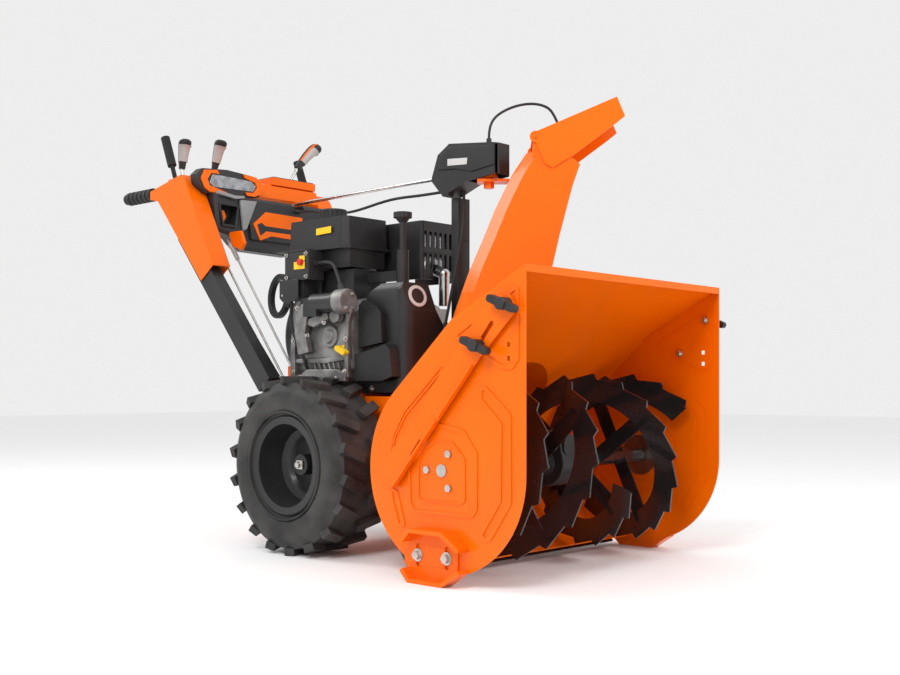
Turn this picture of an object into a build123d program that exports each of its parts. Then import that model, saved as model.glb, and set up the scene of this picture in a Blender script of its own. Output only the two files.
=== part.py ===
from build123d import *
from math import asin, atan2, cos, hypot, pi, radians, sin, sqrt, tan
import os

os.makedirs("parts", exist_ok=True)

# Two-stage walk-behind snow blower. Millimetres, +Z up, the auger faces -Y and the operator stands at +Y.
# The origin is on the ground at the middle of the machine. "Back" below means distance behind the front
# edge of the auger housing, and a hand of -1 is the machine's right side, +1 its left.
LENGTH = 1516
FRONT = -LENGTH / 2
RIGHT, LEFT = -1, 1
SIDES = {"right": RIGHT, "left": LEFT}
SHEET = 3
RUNNING_FIT = 0.05
GAP = 0.4

# Auger housing
PLATE_INNER = 355.5
PLATE_OUTER = PLATE_INNER + SHEET
HOUSING_HEIGHT = 617
WRAP_RADIUS = 206
WRAP_CENTRE = (WRAP_RADIUS, 224)
CEILING_BEND = (185, 520)
LIP_HEIGHT = 15
MOUTH_FLOOR_BACK = 250

# Auger and impeller
AUGER_BACK, AUGER_HEIGHT = 209, 224
AUGER_RADIUS, RIBBON_WIDTH, RIBBON_THICKNESS = 196, 62, 4
RIBBON_PITCH, RIBBON_START, RIBBON_END = 330, 48, 325
TOOTH_COUNT, TOOTH_DEPTH = 18, 13
SHAFT_RADIUS = 12.7
TUBE_RADIUS = 17
IMPELLER_HEIGHT = 260
DRUM_RADIUS, DRUM_REAR = 183, 503
IMPELLER_RADIUS = 177
WORM_CENTRES = IMPELLER_HEIGHT - AUGER_HEIGHT
WORM_RADIUS = 10

# Wheels and frame
AXLE_BACK, TYRE_RADIUS = 735, 207
TYRE_INNER, TYRE_OUTER = 164, 328
RIM_RADIUS, AXLE_RADIUS = 112, 12.5
FRAME_HALF, FRAME_TOP = 153, 372

# Engine
CRANK_HEIGHT, CRANK_RADIUS = 515, 14
BLOCK_FRONT, BLOCK_REAR = 655, 868
SHROUD_RADIUS = 149

# Chute
CHUTE_BACK, CHUTE_TURN = 392, 40
COLLAR_RADIUS, CHUTE_BASE = 88, 500
CHUTE_HALF = 85.5
HINGE_REACH, HINGE_HEIGHT = 104, 945

# Handlebars
GRIP_HEIGHT, GRIP_X = 912, 240
LEVER_X, LEVER_PIVOT = 232, (1290, 925)


def side(x):
    """Plane seen from the left: local x runs back, local y runs up."""
    return Plane(origin=(x, FRONT, 0), x_dir=(0, 1, 0), z_dir=(1, 0, 0))


def face(back):
    """Upright plane that faces forward: local x is X, local y runs up; extrusions run forward."""
    return Plane(origin=(0, FRONT + back, 0), x_dir=(1, 0, 0), z_dir=(0, -1, 0))


def level(height):
    """Level plane: local x is X, local y runs back."""
    return Plane(origin=(0, FRONT, height))


def chute_level(height):
    """Level plane about the chute's axis: local x is the way it throws."""
    turn = radians(CHUTE_TURN)
    return Plane(origin=(0, FRONT + CHUTE_BACK, height), x_dir=(sin(turn), -cos(turn), 0), z_dir=(0, 0, 1))


def chute_side(offset=0):
    """Upright plane along the chute's throw: local x is reach, local y runs up."""
    turn = radians(CHUTE_TURN)
    plane = Plane(
        origin=(0, FRONT + CHUTE_BACK, 0),
        x_dir=(sin(turn), -cos(turn), 0),
        z_dir=(-cos(turn), -sin(turn), 0),
    )
    return plane.offset(offset)


def save(piece, name):
    """Label one finished piece and write its STEP."""
    piece.part.label = name
    export_step(piece.part, f"parts/{name}.step")


def tangent_point(corner, centre, radius):
    """Where a line from the corner grazes the upper rear of a circle."""
    reach = hypot(centre[0] - corner[0], centre[1] - corner[1])
    run = sqrt(reach**2 - radius**2)
    angle = atan2(centre[1] - corner[1], centre[0] - corner[0]) + asin(radius / reach)
    return corner[0] + run * cos(angle), corner[1] + run * sin(angle)


def disc(back, height, radius):
    """Circle on a side plane, given by its distance back and its height."""
    with Locations((back, height)):
        return Circle(radius)


def block(low, high, mode=Mode.ADD):
    """Box between two corners, each given as x, back, height."""
    centre = [(a + b) / 2 for a, b in zip(low, high)]
    size = [b - a for a, b in zip(low, high)]
    with Locations((centre[0], FRONT + centre[1], centre[2])):
        return Box(*size, mode=mode)


def at(spot):
    """Point in the model frame from x, back and height."""
    return Vector(spot[0], FRONT + spot[1], spot[2])


def rod(start, end, radius, flare=None):
    """Round bar, or cone to a flare radius, between two points given as x, back, height."""
    run = at(end) - at(start)
    with BuildPart(Plane(origin=at(start), z_dir=run), mode=Mode.PRIVATE) as bar:
        if flare is None:
            Cylinder(radius, run.length, align=(Align.CENTER, Align.CENTER, Align.MIN))
        else:
            Cone(radius, flare, run.length, align=(Align.CENTER, Align.CENTER, Align.MIN))
    return bar.part


def housing_outline(inset=0):
    """Wedge-shaped outline of the housing on its round bottom."""
    graze = tangent_point(CEILING_BEND, WRAP_CENTRE, WRAP_RADIUS)
    disc(*WRAP_CENTRE, WRAP_RADIUS)
    Polygon((0, WRAP_CENTRE[1]), (0, HOUSING_HEIGHT), CEILING_BEND, graze, WRAP_CENTRE, align=None)
    if inset:
        offset(amount=-inset, kind=Kind.INTERSECTION)


# ---------------------------------------------------------------- auger housing
# Top, back and bottom: one sheet, bent once at the ceiling and rolled round the auger.
with BuildPart() as housing_shell:
    with BuildSketch(side(-PLATE_INNER)):
        housing_outline()
        with BuildSketch(side(-PLATE_INNER), mode=Mode.SUBTRACT):
            housing_outline(SHEET)
        with Locations((-1, (HOUSING_HEIGHT - LIP_HEIGHT) / 2)):
            Rectangle(2 * (SHEET + 1.1), HOUSING_HEIGHT - LIP_HEIGHT, mode=Mode.SUBTRACT)
        Polygon(
            (-5, 0), (MOUTH_FLOOR_BACK, 0), (MOUTH_FLOOR_BACK, 240), (-5, 240),
            align=None, mode=Mode.SUBTRACT,
        )
    extrude(amount=2 * PLATE_INNER)
    with BuildSketch(face(WRAP_CENTRE[0])):
        disc(0, IMPELLER_HEIGHT, DRUM_RADIUS)
    extrude(amount=-2 * WRAP_RADIUS, mode=Mode.SUBTRACT)
save(housing_shell, "housing_shell")


def rib(points, width, corner):
    """Pressed rib that follows a closed outline."""
    with BuildSketch(mode=Mode.PRIVATE) as band:
        Polygon(*points, align=None)
        fillet(band.vertices(), corner)
        offset(amount=-width, mode=Mode.SUBTRACT)
    add(band.sketch)


RIB_HEIGHT, RIB_WIDTH, RIB_GROOVE = 2.5, 7, 1.4
WING_STUDS = [(34, 543), (101, 467)]
SHOE_BOLTS = [(192, 53), (270, 53)]
BEARING_BOLT_REACH, BEARING_BOLT_ANGLES = 38.6, [0, 120, 240]
STUD_RADIUS = 4


def bearing_bolts():
    """Centres of the three auger bearing bolts."""
    return [
        (
            AUGER_BACK + BEARING_BOLT_REACH * cos(radians(angle)),
            AUGER_HEIGHT + BEARING_BOLT_REACH * sin(radians(angle)),
        )
        for angle in BEARING_BOLT_ANGLES
    ]


def ribs():
    """Ribs pressed into a side plate: about the bearing, ahead of it and behind it."""
    rib([(116, 136), (116, 262), (150, 306), (222, 318), (282, 288), (302, 240), (298, 136)], RIB_WIDTH, 24)
    rib([(147, 160), (147, 250), (180, 282), (224, 284), (262, 262), (273, 236), (273, 160)],
        RIB_WIDTH / 2, 14)
    rib([(112, 386), (96, 391), (33, 338), (32, 170), (82, 98), (100, 94), (110, 108), (64, 174), (62, 318),
         (110, 362)], RIB_WIDTH, 7)
    rib([(14, 582), (14, 440), (29, 422), (56, 422), (182, 488)], RIB_WIDTH, 9)
    rib([(206, 420), (306, 331), (336, 286), (346, 245), (354, 247), (344, 291), (313, 340), (212, 429)],
        3.5, 1.5)
    rib([(355, 186), (348, 150), (330, 104), (308, 106), (330, 176)], RIB_WIDTH, 5)


# Side plates with their pressed ribs, raised outside and hollow inside.
with BuildPart() as side_plates:
    for hand in SIDES.values():
        with BuildSketch(side(hand * PLATE_INNER)):
            housing_outline()
        extrude(amount=hand * SHEET)
        with BuildSketch(side(hand * PLATE_OUTER)):
            ribs()
        extrude(amount=hand * RIB_HEIGHT)
        with BuildSketch(side(hand * PLATE_INNER)):
            ribs()
        extrude(amount=hand * RIB_GROOVE, mode=Mode.SUBTRACT)
        with BuildSketch(side(hand * PLATE_INNER)):
            disc(AUGER_BACK, AUGER_HEIGHT, SHAFT_RADIUS + RUNNING_FIT)
            with Locations(*WING_STUDS):
                Circle(STUD_RADIUS + 0.3)
            with Locations((41, 468), (41, 442)):
                Rectangle(9, 9)
        extrude(amount=hand * 2 * SHEET, mode=Mode.SUBTRACT)
save(side_plates, "side_plates")

# Drum behind the housing, its rear wall, and the round collar that the chute turns on.
with BuildPart() as impeller_drum:
    with BuildSketch(face(DRUM_REAR)):
        disc(0, IMPELLER_HEIGHT, DRUM_RADIUS + SHEET)
    extrude(amount=DRUM_REAR - WRAP_CENTRE[0])
    with BuildSketch(level(IMPELLER_HEIGHT)):
        disc(0, CHUTE_BACK, COLLAR_RADIUS + SHEET)
    extrude(amount=CHUTE_BASE - IMPELLER_HEIGHT)
    with BuildSketch(face(DRUM_REAR - SHEET)):
        disc(0, IMPELLER_HEIGHT, DRUM_RADIUS)
    extrude(amount=DRUM_REAR, mode=Mode.SUBTRACT)
    with BuildSketch(level(IMPELLER_HEIGHT)):
        disc(0, CHUTE_BACK, COLLAR_RADIUS)
    extrude(amount=CHUTE_BASE, mode=Mode.SUBTRACT)
    with BuildSketch(side(-PLATE_OUTER)):
        housing_outline()
    extrude(amount=2 * PLATE_OUTER, mode=Mode.SUBTRACT)
    with BuildSketch(face(DRUM_REAR)):
        disc(0, IMPELLER_HEIGHT, SHAFT_RADIUS + RUNNING_FIT)
    extrude(amount=2 * SHEET, mode=Mode.SUBTRACT)
save(impeller_drum, "impeller_drum")

with BuildPart() as scraper_blade:
    with BuildSketch(side(-PLATE_INNER + GAP)):
        Polygon((290, 7), (297, 7), (333, 60.5), (318, 50), align=None)
    extrude(amount=2 * (PLATE_INNER - GAP))
save(scraper_blade, "scraper_blade")

# Skid shoes: slotted webs between two folded bands, flat on the ground and the same upside down.
SHOE_WEB, SHOE_OUTER, SHOE_TOP = 4, 389, 107
SHOE_BAND = [(297, 22), (275, 0), (184, 0), (138, 30), (144, 37), (188, 8), (271, 8), (290, 28)]
with BuildPart() as skid_shoes:
    for hand in SIDES.values():
        with BuildSketch(side(hand * PLATE_OUTER)):
            Polygon((164, 12), (184, 0), (275, 0), (297, 22), (308, 36), (308, 72), (297, 85),
                    (275, SHOE_TOP), (184, SHOE_TOP), (164, 95), align=None)
            with Locations(*SHOE_BOLTS):
                SlotOverall(46, 11, rotation=90, mode=Mode.SUBTRACT)
        extrude(amount=hand * SHOE_WEB)
        with BuildSketch(side(hand * PLATE_OUTER)):
            Polygon(*SHOE_BAND, align=None)
            Polygon(*[(back, SHOE_TOP - height) for back, height in SHOE_BAND], align=None)
        extrude(amount=hand * (SHOE_OUTER - PLATE_OUTER))
save(skid_shoes, "skid_shoes")

# Drift cutters: folded bars that stand off the side plates.
CUTTER_INNER, CUTTER_OUTER, CUTTER_FOLD = 366, 369, 378
CUTTER_OUTLINE = [(12, 532), (30, 562), (87, 547), (154, 473), (373, 219), (348, 186), (328, 185),
                  (210, 321), (101, 446)]
with BuildPart() as drift_cutters:
    for hand in SIDES.values():
        with BuildSketch(side(hand * CUTTER_INNER)):
            Polygon(*CUTTER_OUTLINE, align=None)
            with Locations(*WING_STUDS):
                Circle(STUD_RADIUS + 0.3, mode=Mode.SUBTRACT)
            with Locations((84, 495), (270, 266)):
                SlotOverall(44, 10, rotation=-51, mode=Mode.SUBTRACT)
        extrude(amount=hand * (CUTTER_OUTER - CUTTER_INNER))
        with BuildSketch(side(hand * CUTTER_OUTER)):
            Polygon((210, 321), (328, 185), (332, 188), (214, 324), align=None)
            Polygon((116, 428), (204, 327), (208, 330), (120, 431), align=None)
        extrude(amount=hand * (CUTTER_FOLD - CUTTER_OUTER))
save(drift_cutters, "drift_cutters")

# Shoe bolts, auger bearings with their bolts, and the spacers behind the drift cutters.
BEARING_WIDTH = 10
with BuildPart() as housing_fasteners:
    for hand in SIDES.values():
        with BuildSketch(side(hand * (PLATE_OUTER + SHOE_WEB))):
            with Locations(*SHOE_BOLTS):
                Circle(13)
        extrude(amount=hand * 2)
        with BuildSketch(side(hand * (PLATE_OUTER + SHOE_WEB + 2))):
            with Locations(*SHOE_BOLTS):
                RegularPolygon(9, 6)
        extrude(amount=hand * 8)
        with BuildSketch(side(hand * PLATE_OUTER)):
            with Locations(*bearing_bolts()):
                RegularPolygon(8, 6)
        extrude(amount=hand * 6)
        with BuildSketch(side(hand * PLATE_INNER)):
            disc(AUGER_BACK, AUGER_HEIGHT, 48)
            with Locations((AUGER_BACK, AUGER_HEIGHT)):
                Circle(SHAFT_RADIUS + RUNNING_FIT, mode=Mode.SUBTRACT)
        extrude(amount=-hand * BEARING_WIDTH)
        with BuildSketch(side(hand * PLATE_OUTER)):
            with Locations((60, 524), (120, 482)):
                Circle(8)
        extrude(amount=hand * (CUTTER_INNER - PLATE_OUTER))
save(housing_fasteners, "housing_fasteners")

# Wing knobs: a hub, two wings and a stud through the cutter and the side plate.
KNOB_BASE, KNOB_THICK = 369.5, 14
for hand_name, hand in SIDES.items():
    for place, (back, height) in zip(("upper", "lower"), WING_STUDS):
        with BuildPart() as wing_knob:
            with BuildSketch(side(hand * KNOB_BASE)):
                disc(back, height, 12)
            extrude(amount=hand * 26)
            with BuildSketch(side(hand * (KNOB_BASE + 8))):
                with Locations((back, height)):
                    SlotOverall(72, 15, rotation=22)
            extrude(amount=hand * KNOB_THICK)
            with BuildSketch(side(hand * (PLATE_INNER - 6))):
                disc(back, height, STUD_RADIUS)
            extrude(amount=hand * (KNOB_BASE - PLATE_INNER + 6))
            fillet(wing_knob.faces().sort_by(Axis.X)[-1 if hand > 0 else 0].edges(), 2.5)
        save(wing_knob, f"wing_knob_{hand_name}_{place}")

# ---------------------------------------------------------------- auger and impeller
START_ANGLES = {"right": 115, "left": 19}
SPOKE_TURNS = (0.02, 0.36, 0.7)
SPOKE_REACH, SPOKE_WIDTH = AUGER_RADIUS - 30, 34


def ribbon_angle(hand_name, reach):
    """Angle, from straight back towards the top, of a ribbon at a distance from the middle."""
    return START_ANGLES[hand_name] + 360 * (reach - RIBBON_START) / RIBBON_PITCH


def saw_outline():
    """Serrated outline that the auger ribbons are cut to."""
    step = 360 / TOOTH_COUNT
    points = []
    for tooth in range(TOOTH_COUNT):
        for share, radius in ((0, AUGER_RADIUS - TOOTH_DEPTH), (0.86, AUGER_RADIUS)):
            angle = radians((tooth + share) * step)
            points.append((AUGER_BACK + radius * cos(angle), AUGER_HEIGHT + radius * sin(angle)))
    return points


for hand_name, hand in SIDES.items():
    with BuildPart() as auger:
        for start in (0, 180):
            middle = AUGER_RADIUS - RIBBON_WIDTH / 2
            first_angle = radians(START_ANGLES[hand_name] + start)
            with BuildLine(mode=Mode.PRIVATE) as coil:
                Helix(RIBBON_PITCH, RIBBON_END - RIBBON_START, middle, lefthand=hand < 0)
            axis_plane = Plane(
                origin=(hand * RIBBON_START, FRONT + AUGER_BACK, AUGER_HEIGHT),
                x_dir=(0, cos(first_angle), sin(first_angle)),
                z_dir=(hand, 0, 0),
            )
            path = axis_plane.from_local_coords(coil.line)
            with BuildSketch(Plane(origin=path @ 0, x_dir=axis_plane.x_dir, z_dir=path % 0)):
                Rectangle(RIBBON_WIDTH, RIBBON_THICKNESS)
            sweep(path=path, is_frenet=True)
        with BuildSketch(side(hand * (RIBBON_START - 30))):
            Polygon(*saw_outline(), align=None)
        extrude(amount=hand * (RIBBON_END + 60), mode=Mode.INTERSECT)
        for start in (0, 180):
            for share in SPOKE_TURNS:
                reach = RIBBON_START + 14 + share * (RIBBON_END - RIBBON_START)
                angle = ribbon_angle(hand_name, reach) + start
                spoke = Plane(
                    origin=(hand * reach, FRONT + AUGER_BACK, AUGER_HEIGHT),
                    x_dir=(0, cos(radians(angle)), sin(radians(angle))),
                    z_dir=(1, 0, 0),
                )
                with BuildSketch(spoke):
                    with Locations((SPOKE_REACH / 2, 0)):
                        Rectangle(SPOKE_REACH - TUBE_RADIUS, SPOKE_WIDTH)
                extrude(amount=4)
        with BuildSketch(side(hand * RIBBON_START)):
            disc(AUGER_BACK, AUGER_HEIGHT, TUBE_RADIUS)
        extrude(amount=hand * (RIBBON_END - RIBBON_START + 14))
        with BuildSketch(side(hand * (RIBBON_START - 20))):
            disc(AUGER_BACK, AUGER_HEIGHT, SHAFT_RADIUS + RUNNING_FIT)
        extrude(amount=hand * (RIBBON_END + 60), mode=Mode.SUBTRACT)
    save(auger, f"auger_{hand_name}")

# Cross shaft with the worm wheel in its middle.
WHEEL_RADIUS = WORM_CENTRES - WORM_RADIUS - 0.3
with BuildPart() as auger_shaft:
    with BuildSketch(side(-PLATE_OUTER - 3)):
        disc(AUGER_BACK, AUGER_HEIGHT, SHAFT_RADIUS)
    extrude(amount=2 * (PLATE_OUTER + 3))
    with BuildSketch(side(-9)):
        disc(AUGER_BACK, AUGER_HEIGHT, WHEEL_RADIUS)
    extrude(amount=18)
save(auger_shaft, "auger_shaft")

# Gear case: a rounded casting, hollow round the worm and its wheel.
CASE_HALF, CASE_WALL = 30, 6
with BuildPart() as gear_case:
    with BuildSketch(side(-CASE_HALF)):
        disc(AUGER_BACK, AUGER_HEIGHT, 52)
        disc(AUGER_BACK, AUGER_HEIGHT + 24, 46)
    extrude(amount=2 * CASE_HALF)
    with BuildSketch(side(-CASE_HALF - 14)):
        disc(AUGER_BACK, AUGER_HEIGHT, 26)
    extrude(amount=2 * (CASE_HALF + 14))
    with BuildSketch(face(AUGER_BACK + 110)):
        disc(0, IMPELLER_HEIGHT, 25)
    extrude(amount=160)
    fillet(gear_case.faces().filter_by(Axis.X).group_by(SortBy.AREA)[-1].edges(), 4)
    with BuildSketch(side(-CASE_HALF + CASE_WALL)):
        disc(AUGER_BACK, AUGER_HEIGHT, 40)
        disc(AUGER_BACK, AUGER_HEIGHT + 26, 36)
    extrude(amount=2 * (CASE_HALF - CASE_WALL), mode=Mode.SUBTRACT)
    with BuildSketch(side(-PLATE_OUTER)):
        disc(AUGER_BACK, AUGER_HEIGHT, SHAFT_RADIUS + RUNNING_FIT)
    extrude(amount=2 * PLATE_OUTER, mode=Mode.SUBTRACT)
    with BuildSketch(face(AUGER_BACK + 120)):
        disc(0, IMPELLER_HEIGHT, SHAFT_RADIUS + RUNNING_FIT)
    extrude(amount=154, mode=Mode.SUBTRACT)
save(gear_case, "gear_case")

# Impeller shaft: worm at the front, belt pulley at the rear.
PULLEY_BACK, PULLEY_WIDTH = 575, 24
DRIVEN_RADIUS, DRIVER_RADIUS, PULLEY_LIP = 84, 42, 6


def pulley(back, height, radius, width=PULLEY_WIDTH):
    """Flat-bottomed belt pulley between two lips."""
    with BuildPart(mode=Mode.PRIVATE) as wheel:
        add(rod((0, back, height), (0, back + width, height), radius - PULLEY_LIP))
        add(rod((0, back, height), (0, back + 4, height), radius))
        add(rod((0, back + width - 4, height), (0, back + width, height), radius))
    return wheel.part


with BuildPart() as impeller_shaft:
    with BuildSketch(face(AUGER_BACK - 28)):
        disc(0, IMPELLER_HEIGHT, SHAFT_RADIUS - 4)
    extrude(amount=-60)
    with BuildSketch(face(AUGER_BACK - 24)):
        disc(0, IMPELLER_HEIGHT, WORM_RADIUS)
    extrude(amount=-48)
    with BuildSketch(face(AUGER_BACK + 30)):
        disc(0, IMPELLER_HEIGHT, SHAFT_RADIUS)
    extrude(amount=-(PULLEY_BACK + PULLEY_WIDTH - AUGER_BACK - 30))
    add(pulley(PULLEY_BACK, IMPELLER_HEIGHT, DRIVEN_RADIUS))
save(impeller_shaft, "impeller_shaft")

# Three-bladed impeller.
BLADE_FRONT, BLADE_REAR, BLADE_COUNT = 418, 482, 3
with BuildPart() as impeller:
    with BuildSketch(face(BLADE_REAR + 12)):
        disc(0, IMPELLER_HEIGHT, 26)
    extrude(amount=BLADE_REAR + 12 - BLADE_FRONT + 10)
    hub_plane = Plane(origin=at((0, BLADE_REAR, IMPELLER_HEIGHT)), x_dir=(1, 0, 0), z_dir=(0, -1, 0))
    with BuildSketch(hub_plane):
        with PolarLocations(0, BLADE_COUNT, start_angle=20):
            with Locations((IMPELLER_RADIUS / 2, 0)):
                Rectangle(IMPELLER_RADIUS, 7)
            with Locations((IMPELLER_RADIUS - 16, 10)):
                Rectangle(7, 24)
    extrude(amount=BLADE_REAR - BLADE_FRONT)
    with BuildSketch(hub_plane):
        Circle(78)
    extrude(amount=4)
    with BuildSketch(hub_plane):
        Circle(IMPELLER_RADIUS)
    extrude(amount=BLADE_REAR - BLADE_FRONT, mode=Mode.INTERSECT)
    with BuildSketch(face(BLADE_REAR + 12)):
        disc(0, IMPELLER_HEIGHT, 26)
    extrude(amount=BLADE_REAR + 12 - BLADE_FRONT + 10)
    with BuildSketch(face(BLADE_REAR + 40)):
        disc(0, IMPELLER_HEIGHT, SHAFT_RADIUS)
    extrude(amount=200, mode=Mode.SUBTRACT)
save(impeller, "impeller")

# ---------------------------------------------------------------- tractor frame and wheels
FRAME_FRONT, FRAME_REAR, FRAME_FLOOR = DRUM_REAR, 905, 120
DISC_BACK, DISC_HEIGHT, DISC_RADIUS, DISC_SHAFT = 700, 290, 76, 10
BULKHEAD_BACK = 662
SHIFT_RADIUS, SHIFT_SHAFT = 60, 9
SHIFT_BACK = DISC_BACK + SHIFT_RADIUS + GAP
FRAME_SIDE = [(FRAME_FRONT, 150), (FRAME_FRONT, 366), (668, 366), (668, FRAME_TOP), (866, FRAME_TOP),
              (886, 440), (926, 440), (926, 330), (FRAME_REAR, 300), (FRAME_REAR, 140), (870, FRAME_FLOOR),
              (560, FRAME_FLOOR)]
with BuildPart() as tractor_frame:
    for hand in SIDES.values():
        with BuildSketch(side(hand * FRAME_HALF)):
            Polygon(*FRAME_SIDE, align=None)
        extrude(amount=-hand * SHEET)
    inner = FRAME_HALF - SHEET
    block((-inner, FRAME_FRONT, 150), (inner, FRAME_FRONT + SHEET, 366))
    block((-inner, BULKHEAD_BACK, FRAME_FLOOR + SHEET), (inner, BULKHEAD_BACK + SHEET, FRAME_TOP - SHEET))
    block((-inner, FRAME_REAR - SHEET, 140), (inner, FRAME_REAR, FRAME_TOP - SHEET))
    block((-inner, BULKHEAD_BACK, FRAME_TOP - SHEET), (inner, FRAME_REAR, FRAME_TOP))
    block((-inner, 560, FRAME_FLOOR), (inner, 870, FRAME_FLOOR + SHEET))
    with BuildSketch(face(FRAME_FRONT - 2)):
        disc(0, IMPELLER_HEIGHT, 40)
    extrude(amount=-20, mode=Mode.SUBTRACT)
    with BuildSketch(face(BULKHEAD_BACK - 2)):
        disc(0, DISC_HEIGHT, DISC_SHAFT + RUNNING_FIT)
    extrude(amount=-20, mode=Mode.SUBTRACT)
    with BuildSketch(side(-FRAME_HALF - 1)):
        disc(AXLE_BACK, TYRE_RADIUS, AXLE_RADIUS + RUNNING_FIT)
    extrude(amount=2 * FRAME_HALF + 2, mode=Mode.SUBTRACT)
    with BuildSketch(side(-inner)):
        disc(SHIFT_BACK, DISC_HEIGHT, SHIFT_SHAFT)
    extrude(amount=2 * inner)
save(tractor_frame, "tractor_frame")

# Friction disc on its shaft with the traction pulley, and the rubber-edged friction wheel.
TRACTION_BACK, TRACTION_WIDTH, TRACTION_RADIUS = 612, 20, 64
with BuildPart() as friction_disc:
    with BuildSketch(face(DISC_BACK)):
        disc(0, DISC_HEIGHT, DISC_RADIUS)
    extrude(amount=10)
    with BuildSketch(face(DISC_BACK)):
        disc(0, DISC_HEIGHT, DISC_SHAFT)
    extrude(amount=DISC_BACK - TRACTION_BACK)
    add(pulley(TRACTION_BACK, DISC_HEIGHT, TRACTION_RADIUS, TRACTION_WIDTH))
save(friction_disc, "friction_disc")

with BuildPart() as friction_wheel:
    with BuildSketch(side(-9)):
        disc(SHIFT_BACK, DISC_HEIGHT, SHIFT_RADIUS)
    extrude(amount=18)
    with BuildSketch(side(-16)):
        disc(SHIFT_BACK, DISC_HEIGHT, 24)
    extrude(amount=32)
    with BuildSketch(side(-20)):
        disc(SHIFT_BACK, DISC_HEIGHT, SHIFT_SHAFT + RUNNING_FIT)
    extrude(amount=40, mode=Mode.SUBTRACT)
save(friction_wheel, "friction_wheel")

# Wheels: a dished rim with its half axle, and a lugged tyre.
DISH_X, HUB_RADIUS = 240, 24
LUG_COUNT, LUG_HEIGHT = 18, 15
CARCASS = TYRE_RADIUS - LUG_HEIGHT
BEAD = RIM_RADIUS - 8


def wheel_plane(hand):
    """Axial plane of a wheel: local x runs outwards along the axle, local y is the radius."""
    return Plane(origin=(0, FRONT + AXLE_BACK, TYRE_RADIUS), x_dir=(hand, 0, 0), z_dir=(0, -hand, 0))


for hand_name, hand in SIDES.items():
    axle_line = Axis((0, FRONT + AXLE_BACK, TYRE_RADIUS), (1, 0, 0))
    with BuildPart() as wheel_rim:
        with BuildSketch(wheel_plane(hand)):
            Polygon(
                (TYRE_INNER + 6, BEAD - 12), (TYRE_INNER + 6, RIM_RADIUS), (TYRE_INNER + 10, RIM_RADIUS),
                (TYRE_INNER + 10, BEAD - 8), (DISH_X, BEAD - 14), (DISH_X + 50, BEAD - 8),
                (TYRE_OUTER - 12, BEAD - 4), (TYRE_OUTER - 12, RIM_RADIUS), (TYRE_OUTER - 8, RIM_RADIUS + 3),
                (TYRE_OUTER - 6, RIM_RADIUS), (TYRE_OUTER - 8, BEAD - 8), (DISH_X + 52, BEAD - 12),
                (DISH_X + 20, BEAD - 20), (DISH_X + 14, 68), (DISH_X + 4, 60), (DISH_X + 4, HUB_RADIUS),
                (DISH_X + 34, HUB_RADIUS), (DISH_X + 34, 0), (6, 0), (6, AXLE_RADIUS),
                (FRAME_HALF + 8, AXLE_RADIUS), (FRAME_HALF + 8, HUB_RADIUS), (DISH_X, HUB_RADIUS),
                (DISH_X, 64), (DISH_X + 8, 72), (DISH_X + 10, BEAD - 18), (DISH_X - 4, BEAD - 18),
                align=None,
            )
        revolve(axis=axle_line)
    save(wheel_rim, f"wheel_rim_{hand_name}")

    with BuildPart() as tyre:
        with BuildSketch(wheel_plane(hand)):
            Polygon(
                (TYRE_INNER + 11, BEAD - 7), (TYRE_INNER + 11, RIM_RADIUS + 2),
                (TYRE_INNER, RIM_RADIUS + 22),
                (TYRE_INNER, CARCASS - 26), (TYRE_INNER + 16, CARCASS), (TYRE_OUTER - 16, CARCASS),
                (TYRE_OUTER, CARCASS - 26), (TYRE_OUTER, RIM_RADIUS + 22), (TYRE_OUTER - 13, RIM_RADIUS + 4),
                (TYRE_OUTER - 13, BEAD - 3.5), (DISH_X + 50, BEAD - 7.5), (DISH_X, BEAD - 13.5),
                align=None,
            )
            Polygon(
                (TYRE_INNER + 24, 60), (TYRE_INNER + 24, RIM_RADIUS), (TYRE_INNER + 12, RIM_RADIUS + 24),
                (TYRE_INNER + 12, CARCASS - 32), (TYRE_INNER + 26, CARCASS - 12),
                (TYRE_OUTER - 26, CARCASS - 12), (TYRE_OUTER - 12, CARCASS - 32),
                (TYRE_OUTER - 12, RIM_RADIUS + 24), (TYRE_OUTER - 26, RIM_RADIUS), (TYRE_OUTER - 26, 60),
                align=None, mode=Mode.SUBTRACT,
            )
        revolve(axis=axle_line)
        wheel_middle = (TYRE_INNER + TYRE_OUTER) / 2
        for row in (-1, 1):
            for index in range(LUG_COUNT):
                angle = -90 + (index + row * 0.25 + 0.25) * 360 / LUG_COUNT
                lug = Plane(
                    origin=(hand * wheel_middle, FRONT + AXLE_BACK, TYRE_RADIUS),
                    x_dir=(0, -sin(radians(angle)), cos(radians(angle))),
                    z_dir=(0, cos(radians(angle)), sin(radians(angle))),
                )
                with BuildSketch(lug.offset(CARCASS - 3)):
                    with Locations(Location((0, -row * 43 * hand, 0), (0, 0, row * 24))):
                        Rectangle(24, 66)
                extrude(amount=LUG_HEIGHT + 2)
        with BuildSketch(wheel_plane(hand)):
            with Locations((wheel_middle, TYRE_RADIUS / 2)):
                Rectangle(TYRE_OUTER - TYRE_INNER, TYRE_RADIUS)
        revolve(axis=axle_line, mode=Mode.INTERSECT)
    save(tyre, f"tyre_{hand_name}")

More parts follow.
